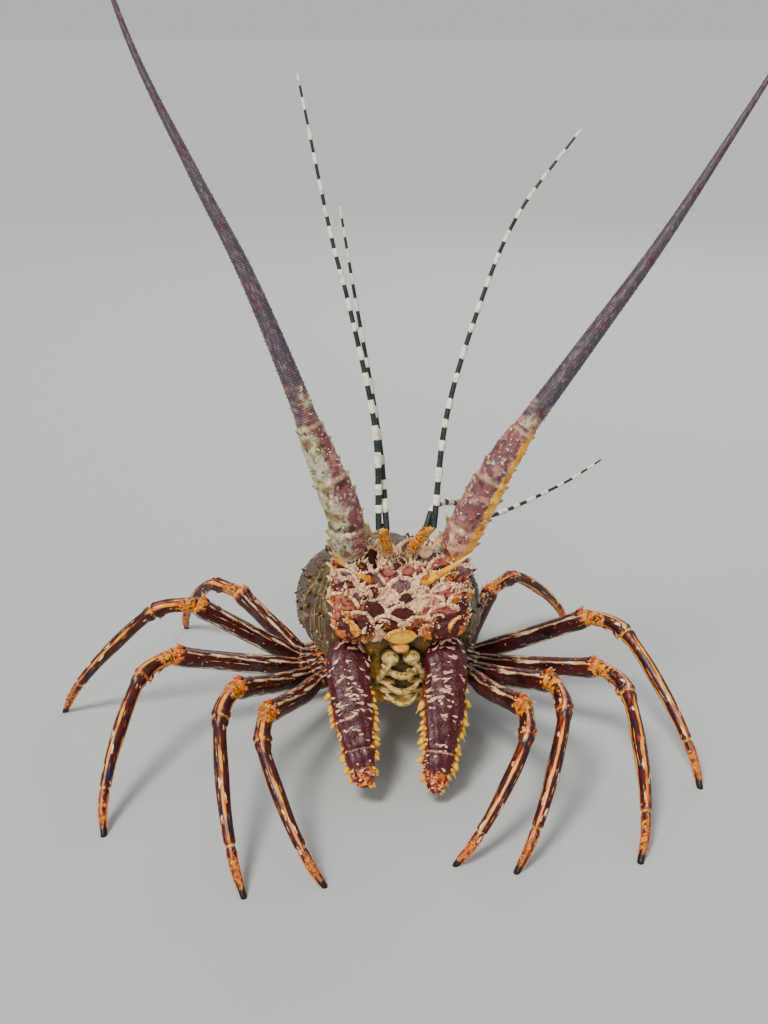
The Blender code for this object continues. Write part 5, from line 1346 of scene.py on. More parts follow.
def make_eye(side, sign, finish):
    """A dark globe on a short mottled stalk."""
    shell, share = Shell(), EYE_STALK_SHARE
    line = straight(on_side(EYE_ROOT, sign), on_side(EYE_TIP, sign), 60)
    t = np.linspace(0, 1, len(line))
    along = np.clip(2 * (t - share) / (1 - share) - 1, -1, 1)
    globe = EYE_RADIUS * np.sqrt(np.maximum(0.0, 1 - along**2))
    stalk = np.where(t < share + 0.12, EYE_STALK_RADIUS * (1 + 0.1 * bell(t, share, 0.06)), 0.02)
    radius = np.maximum(stalk, globe)
    points, values = tube(line, 32, radius, radius, BODY_UP)
    values["rim"] = between(t, share + 0.1, share + 0.04)[:, None]
    shell.grid(points, values)
    shell.make(f"eye_globe_{side}", finish, "eye", f"eye_{side}")


# ---------------------------------------------------------------- antennae


ANTENNA_STEPS = 1200


def antenna_line(side, sign):
    return smooth_line([on_side(ANTENNA_ROOT, sign), *ANTENNA_POINTS[side]], ANTENNA_STEPS)


def antenna_radius(share):
    """An antenna's radius at this share of its length, along the stalk and then the lash."""
    stalk = ANTENNA_STALK_RADIUS * blend(ANTENNA_STALK_ALONG, share / ANTENNA_STALK_SHARE)
    t = np.clip((share - ANTENNA_STALK_SHARE) / (1 - ANTENNA_STALK_SHARE), 0, 1)
    taper = (1 - t) ** 2.2 * (1 + 1.1 * t)
    lash = ANTENNA_TIP_RADIUS + (ANTENNA_LASH_RADIUS - ANTENNA_TIP_RADIUS) * taper
    return np.where(share < ANTENNA_STALK_SHARE, stalk, lash)


STALK_SIDES = 44
STALK_FLATNESS = 0.92
STALK_JOINTS = [(0.30, 0.08, 0.012), (0.64, 0.08, 0.012), (0.985, 0.06, 0.012)]
STALK_GRAINS = 130
# place along the stalk and number of spines of each ring of them
STALK_SPINES = [
    (0.07, 5),
    (0.16, 6),
    (0.25, 6),
    (0.38, 5),
    (0.49, 5),
    (0.59, 6),
    (0.72, 5),
    (0.83, 5),
    (0.94, 6),
]
# how orange the outer side is, how pink it all is and the inner side besides, and how rosy the root is
STALK_TINTS = {"right": (0.2, 0.1, 0.7, 0), "left": (0.80, 0.75, 0.3, 1)}


def make_antenna_stalk(side, sign, finish):
    """The free segments of the stalk, each swelling to a spiny end."""
    shell = Shell()
    line = antenna_line(side, sign)
    last = int(ANTENNA_STALK_SHARE * (len(line) - 1))
    way = tangents(line)
    line = resample(line[: last + 1], 120)
    t = np.linspace(0, 1, len(line))
    lips = bells(t, [(at - 0.03, 0.05, 0.02) for at, _, _ in STALK_JOINTS])
    radius = antenna_radius(t * ANTENNA_STALK_SHARE * 0.999) * (1 - bells(t, STALK_JOINTS) + lips)
    skin = (radius, radius * STALK_FLATNESS, AHEAD, (way[0], way[last]))
    turns = ((np.arange(STALK_SIDES) + 0.5) * TAU / STALK_SIDES)[None]
    warts = 0.3 * np.sin(5 * turns + 9 * t[:, None]) * np.sin(46 * t[:, None] + 3 * np.cos(turns))
    points, values = tube(line, STALK_SIDES, *skin, bumps=warts)
    orange, pink, inner_pink, rosy = STALK_TINTS[side]
    outward = np.cos(turns) * sign
    values["rim"] = bells(t, [(at - 0.02, 1, 0.012) for at, _, _ in STALK_JOINTS])[:, None]
    values["warm"] = (0.95 - 0.30 * t)[:, None]
    values["kind"] = (0.55 * bell(t, 0.05, 0.10) + 0.12)[:, None] + orange * between(outward, -0.1, 0.6)
    values["inset"] = pink + inner_pink * between(outward, 0.5, -0.7)
    values["root"] = (rosy * between(t, 0.45, 0.1))[:, None]
    shell.grid(points, values)
    for at, count in STALK_SPINES:
        angles = np.arange(count) * TAU / count + rng.uniform(-0.25, 0.25, count)
        shares = at + rng.uniform(-0.02, 0.02, count)
        roots, out, ways = on_tube(line, shares, angles, *skin)
        sizes = np.where(np.abs(np.cos(angles)) > 0.75, 3.4, 2.0) * rng.uniform(0.7, 1.2, count)
        sizes = sizes * (1.1 - 0.4 * at)
        shell.stamp(THORN, roots, out + ways * 0.75, sizes, sizes * 0.36, ways * 0.2, warm=1.0)
    shares, angles = rng.uniform(0.05, 0.97, STALK_GRAINS), rng.uniform(0, TAU, STALK_GRAINS)
    roots, out, ways = on_tube(line, shares, angles, *skin)
    sizes = rng.uniform(0.4, 0.9, STALK_GRAINS)
    shell.stamp(GRAIN, roots, out + ways * 0.4, sizes, sizes * 0.8, warm=0.8)
    shell.make(f"antenna_stalk_shell_{side}", finish, "antenna", f"antenna_stalk_{side}")


LASH_ROWS = 1500
LASH_RING_PITCH = 1.05
# degrees round the lash of each row of spines, and the share of them that is left out
LASH_SPINES = [(0, 0.1), (180, 0.1), (50, 0.55), (130, 0.55), (235, 0.55), (305, 0.55)]


def make_antenna_lash(side, sign, finish):
    """The long stiff lash: a tapering rod of fine rings, with rows of small spines."""
    shell = Shell()
    line = antenna_line(side, sign)
    line = line[int(ANTENNA_STALK_SHARE * (len(line) - 1)) - 2 :]
    length = line_length(line)
    line = resample(line, LASH_ROWS)
    t = np.linspace(0, 1, len(line))
    radius = antenna_radius(ANTENNA_STALK_SHARE + (1 - ANTENNA_STALK_SHARE) * t) * rounded_tip(t, 0.008)
    rings = np.cos(t * length / LASH_RING_PITCH * TAU)
    swell = radius * (1 + 0.016 * rings) + 0.4 * bell(t, 0.0, 0.006)
    points, values = tube(line, 22, swell, swell, AHEAD)
    values["rim"] = (between(rings, 0.1, 1.0) * 0.7)[:, None]
    values["warm"] = (0.48 * between(t, 0.16, 0.0))[:, None]
    values["inset"] = 0.6
    shell.grid(points, values)
    rows = int(length / (LASH_RING_PITCH * 2))
    for degrees, left_out in LASH_SPINES:
        shares = (np.arange(rows) + 0.5) / rows + rng.uniform(-0.3, 0.3, rows) / rows
        shares = shares[(rng.uniform(0, 1, rows) > left_out) & (shares < 0.96)]
        angles = np.radians(degrees + rng.uniform(-9, 9, len(shares)))
        roots, out, ways = on_tube(line, shares, angles, radius, radius, AHEAD)
        sizes = (0.35 + 0.8 * (1 - shares) ** 1.5) * rng.uniform(0.75, 1.2, len(shares))
        shell.stamp(FINE_THORN, roots, out + ways * 1.2, sizes, sizes * 0.32)
    nodes = [f"antenna_{name}_{side}" for name in ("lash", "whip")]
    shell.make(f"antenna_whip_shell_{side}", finish, "antenna", *nodes)


def band_values(along, start):
    """White and dark bands of uneven length along a lash."""
    edges, white, at = [], [], start
    while at < along[-1] + 12:
        edges.append(at)
        at += rng.uniform(4.0, 7.5)
        white.append(at)
        at += rng.uniform(3.2, 6.4)
    value = np.zeros_like(along)
    for first, last in zip(white, edges[1:]):
        value = np.maximum(value, between(along, first - 1, first + 1) * between(along, last + 1, last - 1))
    return value


ANTENNULE_SIDES = 24
ANTENNULE_RADIUS = 2.3
ANTENNULE_SPINES = 16
# grooves at the antennule's joints, the swellings before them and their pale rims
ANTENNULE_JOINTS = [(0.34, 0.22, 0.025), (0.68, 0.22, 0.025)]
ANTENNULE_SWELLINGS = [(0.30, 0.1, 0.04), (0.64, 0.1, 0.04), (0.96, 0.12, 0.04)]
ANTENNULE_RIMS = [(0.32, 0.9, 0.03), (0.66, 0.9, 0.03)]


def make_antennule(side, sign, finish):
    """The jointed stalk of an antennule, then its two banded lashes."""
    shell = Shell()
    path = [*(on_side(point, sign) for point in ANTENNULE_ROOTS), np.array(ANTENNULE_TOPS[side], float)]
    line = smooth_line(path, 70)
    t = np.linspace(0, 1, len(line))
    radius = ANTENNULE_RADIUS * (1 - bells(t, ANTENNULE_JOINTS) + bells(t, ANTENNULE_SWELLINGS))
    ends = (None, UP)
    points, values = tube(line, ANTENNULE_SIDES, radius * 1.08, radius, AHEAD, ends)
    values["rim"] = bells(t, ANTENNULE_RIMS)[:, None]
    values["warm"] = between(t, 0.25, 0.6)[:, None]
    values["kind"] = 1.0
    shell.grid(points, values)
    shares, angles = rng.uniform(0.15, 0.95, ANTENNULE_SPINES), rng.uniform(0, TAU, ANTENNULE_SPINES)
    roots, out, ways = on_tube(line, shares, angles, radius, radius, AHEAD, ends)
    sizes = rng.uniform(1.0, 2.2, ANTENNULE_SPINES)
    shell.stamp(THORN, roots, out * 0.6 + ways, sizes, 0.5, kind=1.0, warm=0.8)
    shell.make(f"antennule_stalk_shell_{side}", finish, "antennule", f"antennule_stalk_{side}")
    for name in ANTENNULE_ROOT_OFFSET:
        make_antennule_lash(side, sign, name, finish)


def make_antennule_lash(side, sign, name, finish):
    """One thin lash, a little thicker at each white band."""
    shell = Shell()
    root = np.array(ANTENNULE_TOPS[side], float) + (sign * ANTENNULE_ROOT_OFFSET[name], 0, -0.6)
    line = smooth_line([root, *ANTENNULE_POINTS[side, name]], 420)
    t = np.linspace(0, 1, len(line))
    along = t * line_length(line)
    bands = band_values(along, 3.0)
    radius = (0.42 + 0.95 * (1 - t) ** 0.8) * rounded_tip(t, 0.01)
    radius = radius * (1 + 0.32 * bands + 0.03 * np.cos(along * 5.5))
    points, values = tube(line, 12, radius, radius, AHEAD, (UP, None))
    values["rim"] = bands[:, None]
    values["warm"] = (0.6 * between(t, 0.07, 0.0))[:, None]
    shell.grid(points, values)
    shell.make(f"antennule_{name}_lash_{side}", finish, "antennule", f"antennule_{name}_{side}")


# ---------------------------------------------------------------- maxillipeds


MAXILLIPED_STEPS = 400
MAXILLIPED_SIDES = 64
MAXILLIPED_JOINTS = [(0.10, 0.10, 0.012), (0.765, 0.12, 0.010), (0.885, 0.10, 0.008)]
MAXILLIPED_PINK = {"right": 0.28, "left": 0.7}


def make_maxilliped(side, sign, finish):
    """A stout third maxilliped: its long spiny upper length, and the jointed end beyond it."""
    whole = smooth_line([on_side(MAXILLIPED_ROOT, sign), *MAXILLIPED_POINTS[side]], MAXILLIPED_STEPS)
    ways = tangents(whole)
    cut = int(MAXILLIPED_SPLIT * MAXILLIPED_STEPS)
    for name, first, last, rows in (("upper", 0, cut, 170), ("lower", cut, MAXILLIPED_STEPS, 80)):
        shell = Shell()
        line = resample(whole[first : last + 1], rows)
        share = (first + (last - first) * np.linspace(0, 1, rows + 1)) / MAXILLIPED_STEPS
        width = MAXILLIPED_HALF_WIDTH * blend(MAXILLIPED_ALONG, share)
        width = width * (1 - bells(share, MAXILLIPED_JOINTS)) * rounded_tip(share, 0.015, 0.02)
        skin = (width, width * MAXILLIPED_FLATNESS, MAXILLIPED_TILT, (ways[first], ways[last]))
        turns = ((np.arange(MAXILLIPED_SIDES) + 0.5) * TAU / MAXILLIPED_SIDES)[None]
        ripple = 0.4 * np.sin(7 * turns + 31 * share[:, None]) * np.sin(4 * turns - 47 * share[:, None])
        points, values = tube(line, MAXILLIPED_SIDES, *skin, squareness=0.85, bumps=ripple)
        values["rim"] = (MAXILLIPED_PINK[side] * bell(share, 0.772, 0.005))[:, None]
        edge = between(np.abs(np.cos(turns)), 0.88, 1.0) * 0.8 * between(share, 0.25, 0.5)[:, None]
        values["warm"] = np.clip(edge + between(share, 0.86, 0.94)[:, None], 0, 1)
        shell.grid(points, values)
        add_knobs(shell, line, share, skin, 178 if sign > 0 else 2)
        add_front_spines(shell, line, share, skin)
        shell.make(f"maxilliped_{name}_shell_{side}", finish, "maxilliped", f"maxilliped_{name}_{side}")


def add_knobs(shell, line, share, skin, outer):
    """Knobs along both edges and beside them, from higher up on the outer one, and a few sharp ones."""
    rows = int(line_length(line) / 2.7)
    for degrees in (2, 178, 20, 160, -18, 198):
        shares = (np.arange(rows) + 0.5) / rows + rng.uniform(-0.35, 0.35, rows) / rows
        angles = np.radians(degrees + rng.uniform(-8, 8, rows))
        at = share[0] + (share[-1] - share[0]) * shares
        on_edge = degrees in (2, 178)
        keep = at > (0.34 if on_edge else 0.45) + (0.0 if degrees in (outer, 20, 160) else 0.08)
        keep &= rng.uniform(0, 1, rows) > (0.12 if on_edge else 0.5)
        shares, angles, at = shares[keep], angles[keep], at[keep]
        roots, out, ways = on_tube(line, shares, angles, *skin)
        sizes = (3.9 if on_edge else 2.3) * rng.uniform(0.55, 1.25, len(shares)) * (1.1 - 0.3 * at)
        lean = out + ways * rng.uniform(-0.3, 0.9, len(shares))[:, None]
        radii = sizes * rng.uniform(0.36, 0.52, len(shares))
        shell.stamp(KNOB, roots, lean, sizes * 0.85, radii, ways * 0.4, kind=1.0)
        if on_edge:
            pick = rng.uniform(0, 1, len(shares)) > 0.75
            sizes, bends = sizes[pick], ways[pick] * 0.5
            shell.stamp(THORN, roots[pick], lean[pick], sizes * 1.15, sizes * 0.34, bends, kind=1.0)


def add_front_spines(shell, line, share, skin):
    """Small pinkish white spines over the front, closer together towards the top, and grains all round."""
    count = int(line_length(line) * 1.9)
    shares = rng.uniform(0.0, 0.97, count)
    angles = np.radians(rng.uniform(20, 160, count))
    at = share[0] + (share[-1] - share[0]) * shares
    keep = rng.uniform(0, 1, count) < blend(FRONT_SPINES_ALONG, at)
    shares, angles, at = shares[keep], angles[keep], at[keep]
    roots, out, ways = on_tube(line, shares, angles, *skin)
    sizes = rng.uniform(1.4, 3.4, len(shares)) * (1.25 - 0.6 * at)
    rng.uniform(0, 1, len(shares))  # decides nothing, but every later draw depends on it
    sideways = np.cross(ways, out)
    sideways = sideways * np.sign(sideways[:, 0] * np.cos(angles))[:, None]
    lean = out * 0.35 + sideways - ways * rng.uniform(-0.1, 0.55, len(shares))[:, None]
    shell.stamp(THORN, roots + out * 0.25, lean, sizes, sizes * 0.24, kind=0.5)
    grains = int(line_length(line) * 5)
    shares, angles = rng.uniform(0, 1, grains), rng.uniform(0, TAU, grains)
    roots, out, ways = on_tube(line, shares, angles, *skin)
    sizes = rng.uniform(0.4, 0.95, grains)
    kinds = rng.choice([0.0, 0.5], grains, p=[0.82, 0.18])
    shell.stamp(GRAIN, roots, out + ways * 0.3, sizes, sizes * 0.9, kind=kinds)


# ---------------------------------------------------------------- legs


def leg_points(side, sign, index):
    s, x = HIPS[index]
    hip = body(s, sign * x, HIP_LEVEL)
    knee = np.array(KNEES[side][index], float)
    foot = np.array((*FEET[side][index], 0), float)
    heading = (knee[1] - hip[1]) / abs(knee[0] - hip[0])
    elbow = hip + unit(np.array([sign, 0.22 * heading, -COXA_DROP])) * COXA_REACH
    return hip, elbow, knee, foot


# For each length of a leg: its radius along it, its grooves, lips and pale rims as share, height and width,
# and its spines as degrees round it, share and length
UPPER_LEG = {
    "radius": [
        (0, COXA_RADIUS),
        (0.16, COXA_RADIUS * 0.92),
        (0.27, MERUS_RADIUS * 0.84),
        (0.42, MERUS_RADIUS),
        (0.85, MERUS_RADIUS * 0.96),
        (0.93, MERUS_RADIUS * 1.04),
        (1, KNEE_RADIUS),
    ],
    "grooves": [(0.155, 0.22, 0.010), (0.275, 0.16, 0.008)],
    "lips": [(0.135, 0.10, 0.012), (0.255, 0.08, 0.010), (0.975, 0.07, 0.012)],
    "rims": [(0.155, 0.85, 0.008), (0.275, 0.8, 0.006), (0.985, 0.7, 0.010)],
    "spines": [
        (90, 0.955, 4.6),
        (55, 0.945, 3.0),
        (125, 0.945, 3.0),
        (12, 0.95, 3.4),
        (168, 0.95, 3.4),
        (90, 0.86, 2.2),
        (35, 0.80, 1.6),
        (145, 0.76, 1.6),
    ],
}
LOWER_LEG = {
    "radius": [
        (0, KNEE_RADIUS * 0.98),
        (0.10, KNEE_RADIUS * 0.92),
        (0.19, PROPODUS_RADIUS * 1.18),
        (0.27, PROPODUS_RADIUS * 0.92),
        (0.45, PROPODUS_RADIUS),
        (0.73, ANKLE_RADIUS * 1.06),
        (0.80, ANKLE_RADIUS * 0.86),
        (1, FOOT_RADIUS),
    ],
    "grooves": [(0.006, 0.16, 0.008), (0.205, 0.20, 0.008), (0.785, 0.18, 0.008)],
    "lips": [(0.186, 0.10, 0.012), (0.232, 0.08, 0.016), (0.768, 0.10, 0.012)],
    "rims": [(0.205, 0.9, 0.006), (0.785, 0.85, 0.006)],
    "spines": [
        (90, 0.165, 3.6),
        (50, 0.172, 2.6),
        (130, 0.172, 2.6),
        (90, 0.085, 2.4),
        (20, 0.755, 1.6),
        (160, 0.755, 1.6),
    ],
}
BRISTLE_ROWS = (30, 60, 120, 150, 210, 240, 300, 330)
BRISTLES_IN_ROW = 34


def add_leg_length(shell, leg, line, ends, lateral, warm, kind=0.0):
    """One length of a leg, kept above the floor, with its spines. Gives its skin, to place more on."""
    t = np.linspace(0, 1, len(line))
    radius = blend(leg["radius"], t) * (1 - bells(t, leg["grooves"]) + bells(t, leg["lips"]))
    skin = (radius, radius * LEG_DEPTH, UP, ends, lateral)
    points, values = tube(line, 28, *skin, squareness=0.92)
    points[..., 2] = np.maximum(points[..., 2], 0)
    values["rim"] = bells(t, leg["rims"])[:, None]
    values["warm"] = warm
    values["kind"] = kind
    shell.grid(points, values)
    degrees, shares, sizes = np.array(leg["spines"]).T
    roots, out, ways = on_tube(line, shares, np.radians(degrees), *skin)
    shell.stamp(THORN, roots, out * 0.8 + ways, sizes, sizes * 0.32, ways * 0.2)
    return skin


def make_upper_leg(side, sign, index, finish):
    """Coxa, basis and merus, with the spines at the merus's end."""
    shell = Shell()
    hip, elbow, knee, _ = leg_points(side, sign, index)
    lead = unit(knee - elbow)
    sag = elbow + (knee - elbow) * 0.35 - UP * 1.5
    line = smooth_line([hip + (elbow - hip) * -0.12, elbow, sag, knee], 130)
    t = np.linspace(0, 1, len(line))[:, None]
    warm = 0.45 * between(t, 0.22, 0.05) + 0.6 * between(t, 0.92, 0.98)
    add_leg_length(shell, UPPER_LEG, line, (None, lead), unit(np.cross(lead, UP)), warm)
    shell.make(f"leg_{index + 1}_merus_{side}", finish, "leg_upper", f"leg_{index + 1}_upper_{side}")


def make_lower_leg(side, sign, index, finish):
    """Carpus, propodus and dactyl, down to a dark claw on the floor, with bristles near it."""
    shell, bristles = Shell(), Shell()
    _, elbow, knee, foot = leg_points(side, sign, index)
    lead, down = unit(knee - elbow), unit(foot - knee)
    wrist = knee + unit(lead + down * 1.15) * CARPUS_LENGTH
    shin = unit(foot - wrist)
    bow = unit(lead - shin * (lead @ shin)) * LOWER_LEG_BOW
    path = [knee, wrist, wrist + (foot - wrist) * 0.45 + bow, wrist + (foot - wrist) * 0.8 + bow * 0.85, foot]
    line = smooth_line(path, 190)
    t = np.linspace(0, 1, len(line))[:, None]
    warm = 0.55 * between(t, 0.22, 0.02) + 0.5 * between(t, 0.78, 0.86) * between(t, 0.97, 0.93)
    claw = between(t, 0.94, 0.985)
    skin = add_leg_length(shell, LOWER_LEG, line, (lead, -UP), unit(np.cross(lead, down)), warm, claw)
    shell.make(f"leg_{index + 1}_shin_{side}", finish, "leg_lower", f"leg_{index + 1}_lower_{side}")
    for degrees in BRISTLE_ROWS:
        shares = np.linspace(0.80, 0.955, BRISTLES_IN_ROW) + rng.uniform(-0.002, 0.002, BRISTLES_IN_ROW)
        angles = np.radians(degrees + rng.uniform(-12, 12, BRISTLES_IN_ROW))
        roots, out, ways = on_tube(line, shares, angles, *skin)
        lengths = rng.uniform(0.9, 1.9, BRISTLES_IN_ROW)
        bristles.tufts(roots, out * 0.6 + ways, lengths, 0.15, angles / TAU, shares)
    bristles.make(f"leg_{index + 1}_bristles_{side}", finish, "leg_lower")


# ---------------------------------------------------------------- abdomen and tail fan


def abdomen_axis():
    """Start, end and direction of each segment."""
    place, out = body(CARAPACE_REAR - TAIL_GAP / 2, 0, ABDOMEN_START), []
    for (length, _, _, _), slope, turn in zip(ABDOMEN_SEGMENTS, ABDOMEN_SLOPES, ABDOMEN_TURNS):
        down, left = math.radians(slope), math.radians(turn)
        way = np.array([math.cos(down) * math.sin(left), math.cos(down) * math.cos(left), -math.sin(down)])
        out.append((place, place + way * length, way))
        place = place + way * length
    return out


ABDOMEN_AXIS = abdomen_axis()


def joint_ways():
    """The directions in which the segments' joints face, from the carapace to the last segment's end."""
    ways = [way for _, _, way in ABDOMEN_AXIS]
    return [-BODY_AHEAD, *(unit(a + b) for a, b in zip(ways, ways[1:])), ways[-1]]


JOINT_WAYS = joint_ways()


def segment_axes(index, share):
    """The directions across and up at this share of a segment."""
    turn = JOINT_WAYS[index + 1] - JOINT_WAYS[index]
    return axes_along(unit(JOINT_WAYS[index] + turn * np.clip(share, 0, 1)), UP)


def segment_sizes(index, share):
    """Half-width, height and depth at this share of a segment, on the way to those of the next one."""
    here, after = ([sizes[1:] for sizes in ABDOMEN_SEGMENTS] + [ABDOMEN_END])[index : index + 2]
    return [a + (b - a) * 0.8 * np.clip(share, 0, 1) for a, b in zip(here, after)]


SEGMENT_UNDER = [
    (0.99, -0.3),
    (0.95, -0.62),
    (0.90, -0.86),
    (0.78, -0.98),
    (0.6, -0.88),
    (0.4, -0.75),
    (0.2, -0.7),
    (0, -0.69),
]


SEGMENT_SQUARENESS = 0.82


def segment_outline(columns):
    """The section of a segment, as x and n shares: round above, with a hollowed underside."""
    turns = np.linspace(0, math.pi, columns)
    x, n = superellipse(turns, SEGMENT_SQUARENESS)
    left = resample(np.array([(-x, n, 0) for x, n in SEGMENT_UNDER]), 24)
    right = left[::-1][1:] * (-1, 1, 1)
    below = np.vstack([left, right])
    is_under = np.repeat([0.0, 1.0], [columns, len(below)])
    return np.append(x, below[:, 0]), np.append(n, below[:, 1]), is_under


# share of its full size that a segment's arch has along it
SEGMENT_ALONG = [
    (-0.05, 0.925),
    (0.08, 0.945),
    (0.15, 0.972),
    (0.42, 0.985),
    (0.52, 0.948),
    (0.62, 0.99),
    (0.9, 1.012),
    (1.0, 1.0),
    (1.06, 0.965),
]
SPOTTED_SEGMENTS = (1, 5)
SWIMMERET_SEGMENTS = (1, 2, 3, 4)
SEGMENT_GRAINS = 130


def make_segment(index, finish):
    """One segment of the abdomen: its arched plate, side flaps and swimmerets."""
    shell = Shell()
    start, end, _ = ABDOMEN_AXIS[index]
    x, n, is_under = segment_outline(150)
    t = np.linspace(-0.05, 1.06, 64)
    rings = []
    for share, k in zip(t, blend(SEGMENT_ALONG, t)):
        across, top = segment_axes(index, share)
        wide, high, deep = segment_sizes(index, share)
        scale = np.where(is_under > 0, 0.97, k)
        rise = np.where(is_under > 0, n * deep, n * high * scale)
        middle = start + (end - start) * share
        rings.append(middle + across * (x * wide * scale)[:, None] + top * rise[:, None])
    t, x, n = t[:, None], x[None], n[None]
    back = (1 - is_under)[None]
    values = {
        "along": t * 20,
        "side": x * 8,
        "top": n * 8,
        "rim": (bell(t, 0.95, 0.07) + 0.75 * bell(t, 0.60, 0.03)) * back * between(n, 0.02, 0.3),
        "kind": segment_spots(index, x, n, t) * back,
        "warm": 0.75 * (1 - back) + 0.3 * between(n, 0.25, -0.1) * back,
    }
    shell.grid(np.array(rings), values)
    add_segment_grains(shell, index, start, end)
    for sign in SIDES.values():
        add_pleuron(shell, index, sign)
        if index in SWIMMERET_SEGMENTS:
            add_swimmeret(shell, index, sign)
    shell.make(f"abdomen_{index + 1}_shell", finish, "abdomen", f"abdomen_{index + 1}")


def segment_spots(index, x, n, t):
    """A pale spot on each side of some segments, and a smaller one in the middle."""
    if index not in SPOTTED_SEGMENTS:
        return 0.0
    width = ABDOMEN_SEGMENTS[index][1]
    side = np.hypot((np.abs(x) - 0.80) * width, (t - 0.55) * 20)
    middle = np.hypot(x * width, (t - 0.35) * 20)
    return np.maximum(between(side, 3.6, 2.4) * (n > 0), between(middle, 2.2, 1.4))


def add_segment_grains(shell, index, start, end):
    """Grains over a segment's arch."""
    share = rng.uniform(0.2, 0.95, SEGMENT_GRAINS)[:, None]
    turns = rng.uniform(0.08, math.pi - 0.08, SEGMENT_GRAINS)[:, None]
    across, top = segment_axes(index, share)
    x, n = superellipse(turns, SEGMENT_SQUARENESS)
    wide, high, _ = segment_sizes(index, share)
    roots = start + (end - start) * share + across * (x * wide * 0.985) + top * (n * high * 0.985)
    _, width, height, _ = ABDOMEN_SEGMENTS[index]
    sizes = rng.uniform(0.4, 0.8, SEGMENT_GRAINS)
    shell.stamp(GRAIN, roots, across * (x / width) + top * (n / height), sizes * 0.7, sizes, tip=0.0)


# front and rear edge and half-thickness of a side flap from its root to its point, and where its teeth stand
PLEURON_FRONT = [(0, -6.5), (0.35, -4.6), (0.75, 0.6), (1, 4.9)]
PLEURON_REAR = [(0, 6.2), (0.4, 6.4), (0.8, 6.0), (1, 5.1)]
PLEURON_THICKNESS = [(0, 2.3), (0.5, 1.5), (1, 0.3)]
PLEURON_TEETH = np.array([0.45, 0.6, 0.75, 0.88])
PLEURON_ROWS = 34
PLEURON_SIDES = 20


def add_pleuron(shell, index, sign):
    """The pointed flap at a segment's side, hanging down and swept back."""
    _, width, _, below = ABDOMEN_SEGMENTS[index]
    start, end, way = ABDOMEN_AXIS[index]
    across, top = axes_along(way, UP)
    root = start + (end - start) * 0.52 + across * (sign * width * 0.9) - top * (below * 0.4)
    reach = min(17.0, root[2] - 1.4)
    t = np.linspace(0, 1, PLEURON_ROWS)[:, None]
    front, rear = blend(PLEURON_FRONT, t), blend(PLEURON_REAR, t)
    drop = 4.5 - (4.5 + reach) * t
    turns = (np.arange(PLEURON_SIDES) + 0.5) * TAU / PLEURON_SIDES
    c, s = (value[None] for value in superellipse(turns, 0.8))
    along = (front + rear) / 2 + (rear - front) / 2 * c
    out = blend(PLEURON_THICKNESS, t) * s * (1 + 0.25 * np.cos(3 * c))
    points = root + way * along[..., None] + top * drop[..., None] + across * (sign * out)[..., None]
    rim = 0.9 * between(np.abs(c), 0.86, 0.98) * between(t, 0.3, 0.5)
    shell.grid(points, {"warm": 0.85 * between(t, 0.45, 0.95), "rim": rim})
    rows = (PLEURON_TEETH * (PLEURON_ROWS - 1)).astype(int)
    roots = root + way * (rear[rows] - 0.3) + top * drop[rows]
    shell.stamp(FINE_THORN, roots, way - top * 0.9, 1.8, 0.6, tip=0.6)


SWIMMERET_ALONG = [(0, 0.3), (0.5, 1.0), (0.85, 0.8), (1, 0.1)]


def add_swimmeret(shell, index, sign):
    """A pair of leaf-shaped blades, folded back."""
    _, width, _, below = ABDOMEN_SEGMENTS[index]
    start, end, way = ABDOMEN_AXIS[index]
    across, top = axes_along(way, UP)
    under = top * (-below * 0.62)
    for spread, lower in ((0.5, 0.0), (0.30, 0.6)):
        root = start + (end - start) * 0.25 + across * (sign * width * spread)
        tip = start + (end - start) * 0.95 + across * (sign * width * (spread + 0.06))
        line = straight(root + under - top * lower, tip + under - top * (3 + lower), 26)
        t = np.linspace(0, 1, len(line))
        points, values = tube(line, 26, 5.6 * blend(SWIMMERET_ALONG, t), 0.7 + 0.1 * np.cos(t * 30), UP)
        values["warm"] = 0.8
        values["rim"] = 0.7 * between(np.abs(values["side"]), 0.9, 1.0)
        shell.grid(points, values)


# x of the root, swing outward in degrees, level and half-width of each uropod
FAN_LEAVES = {"inner": (9.5, 9, -0.8, 11.0), "outer": (13.0, 21, -3.8, 11.5)}
FRINGE_BRISTLES = 90
TELSON_HALF_WIDTH = [(0, 12), (0.3, 14.5), (0.8, 13.5), (0.95, 11), (1, 8.5)]
LEAF_WIDTH_ALONG = [(0, 0.3), (0.25, 0.78), (0.7, 1.0), (0.92, 0.74), (1, 0.48)]


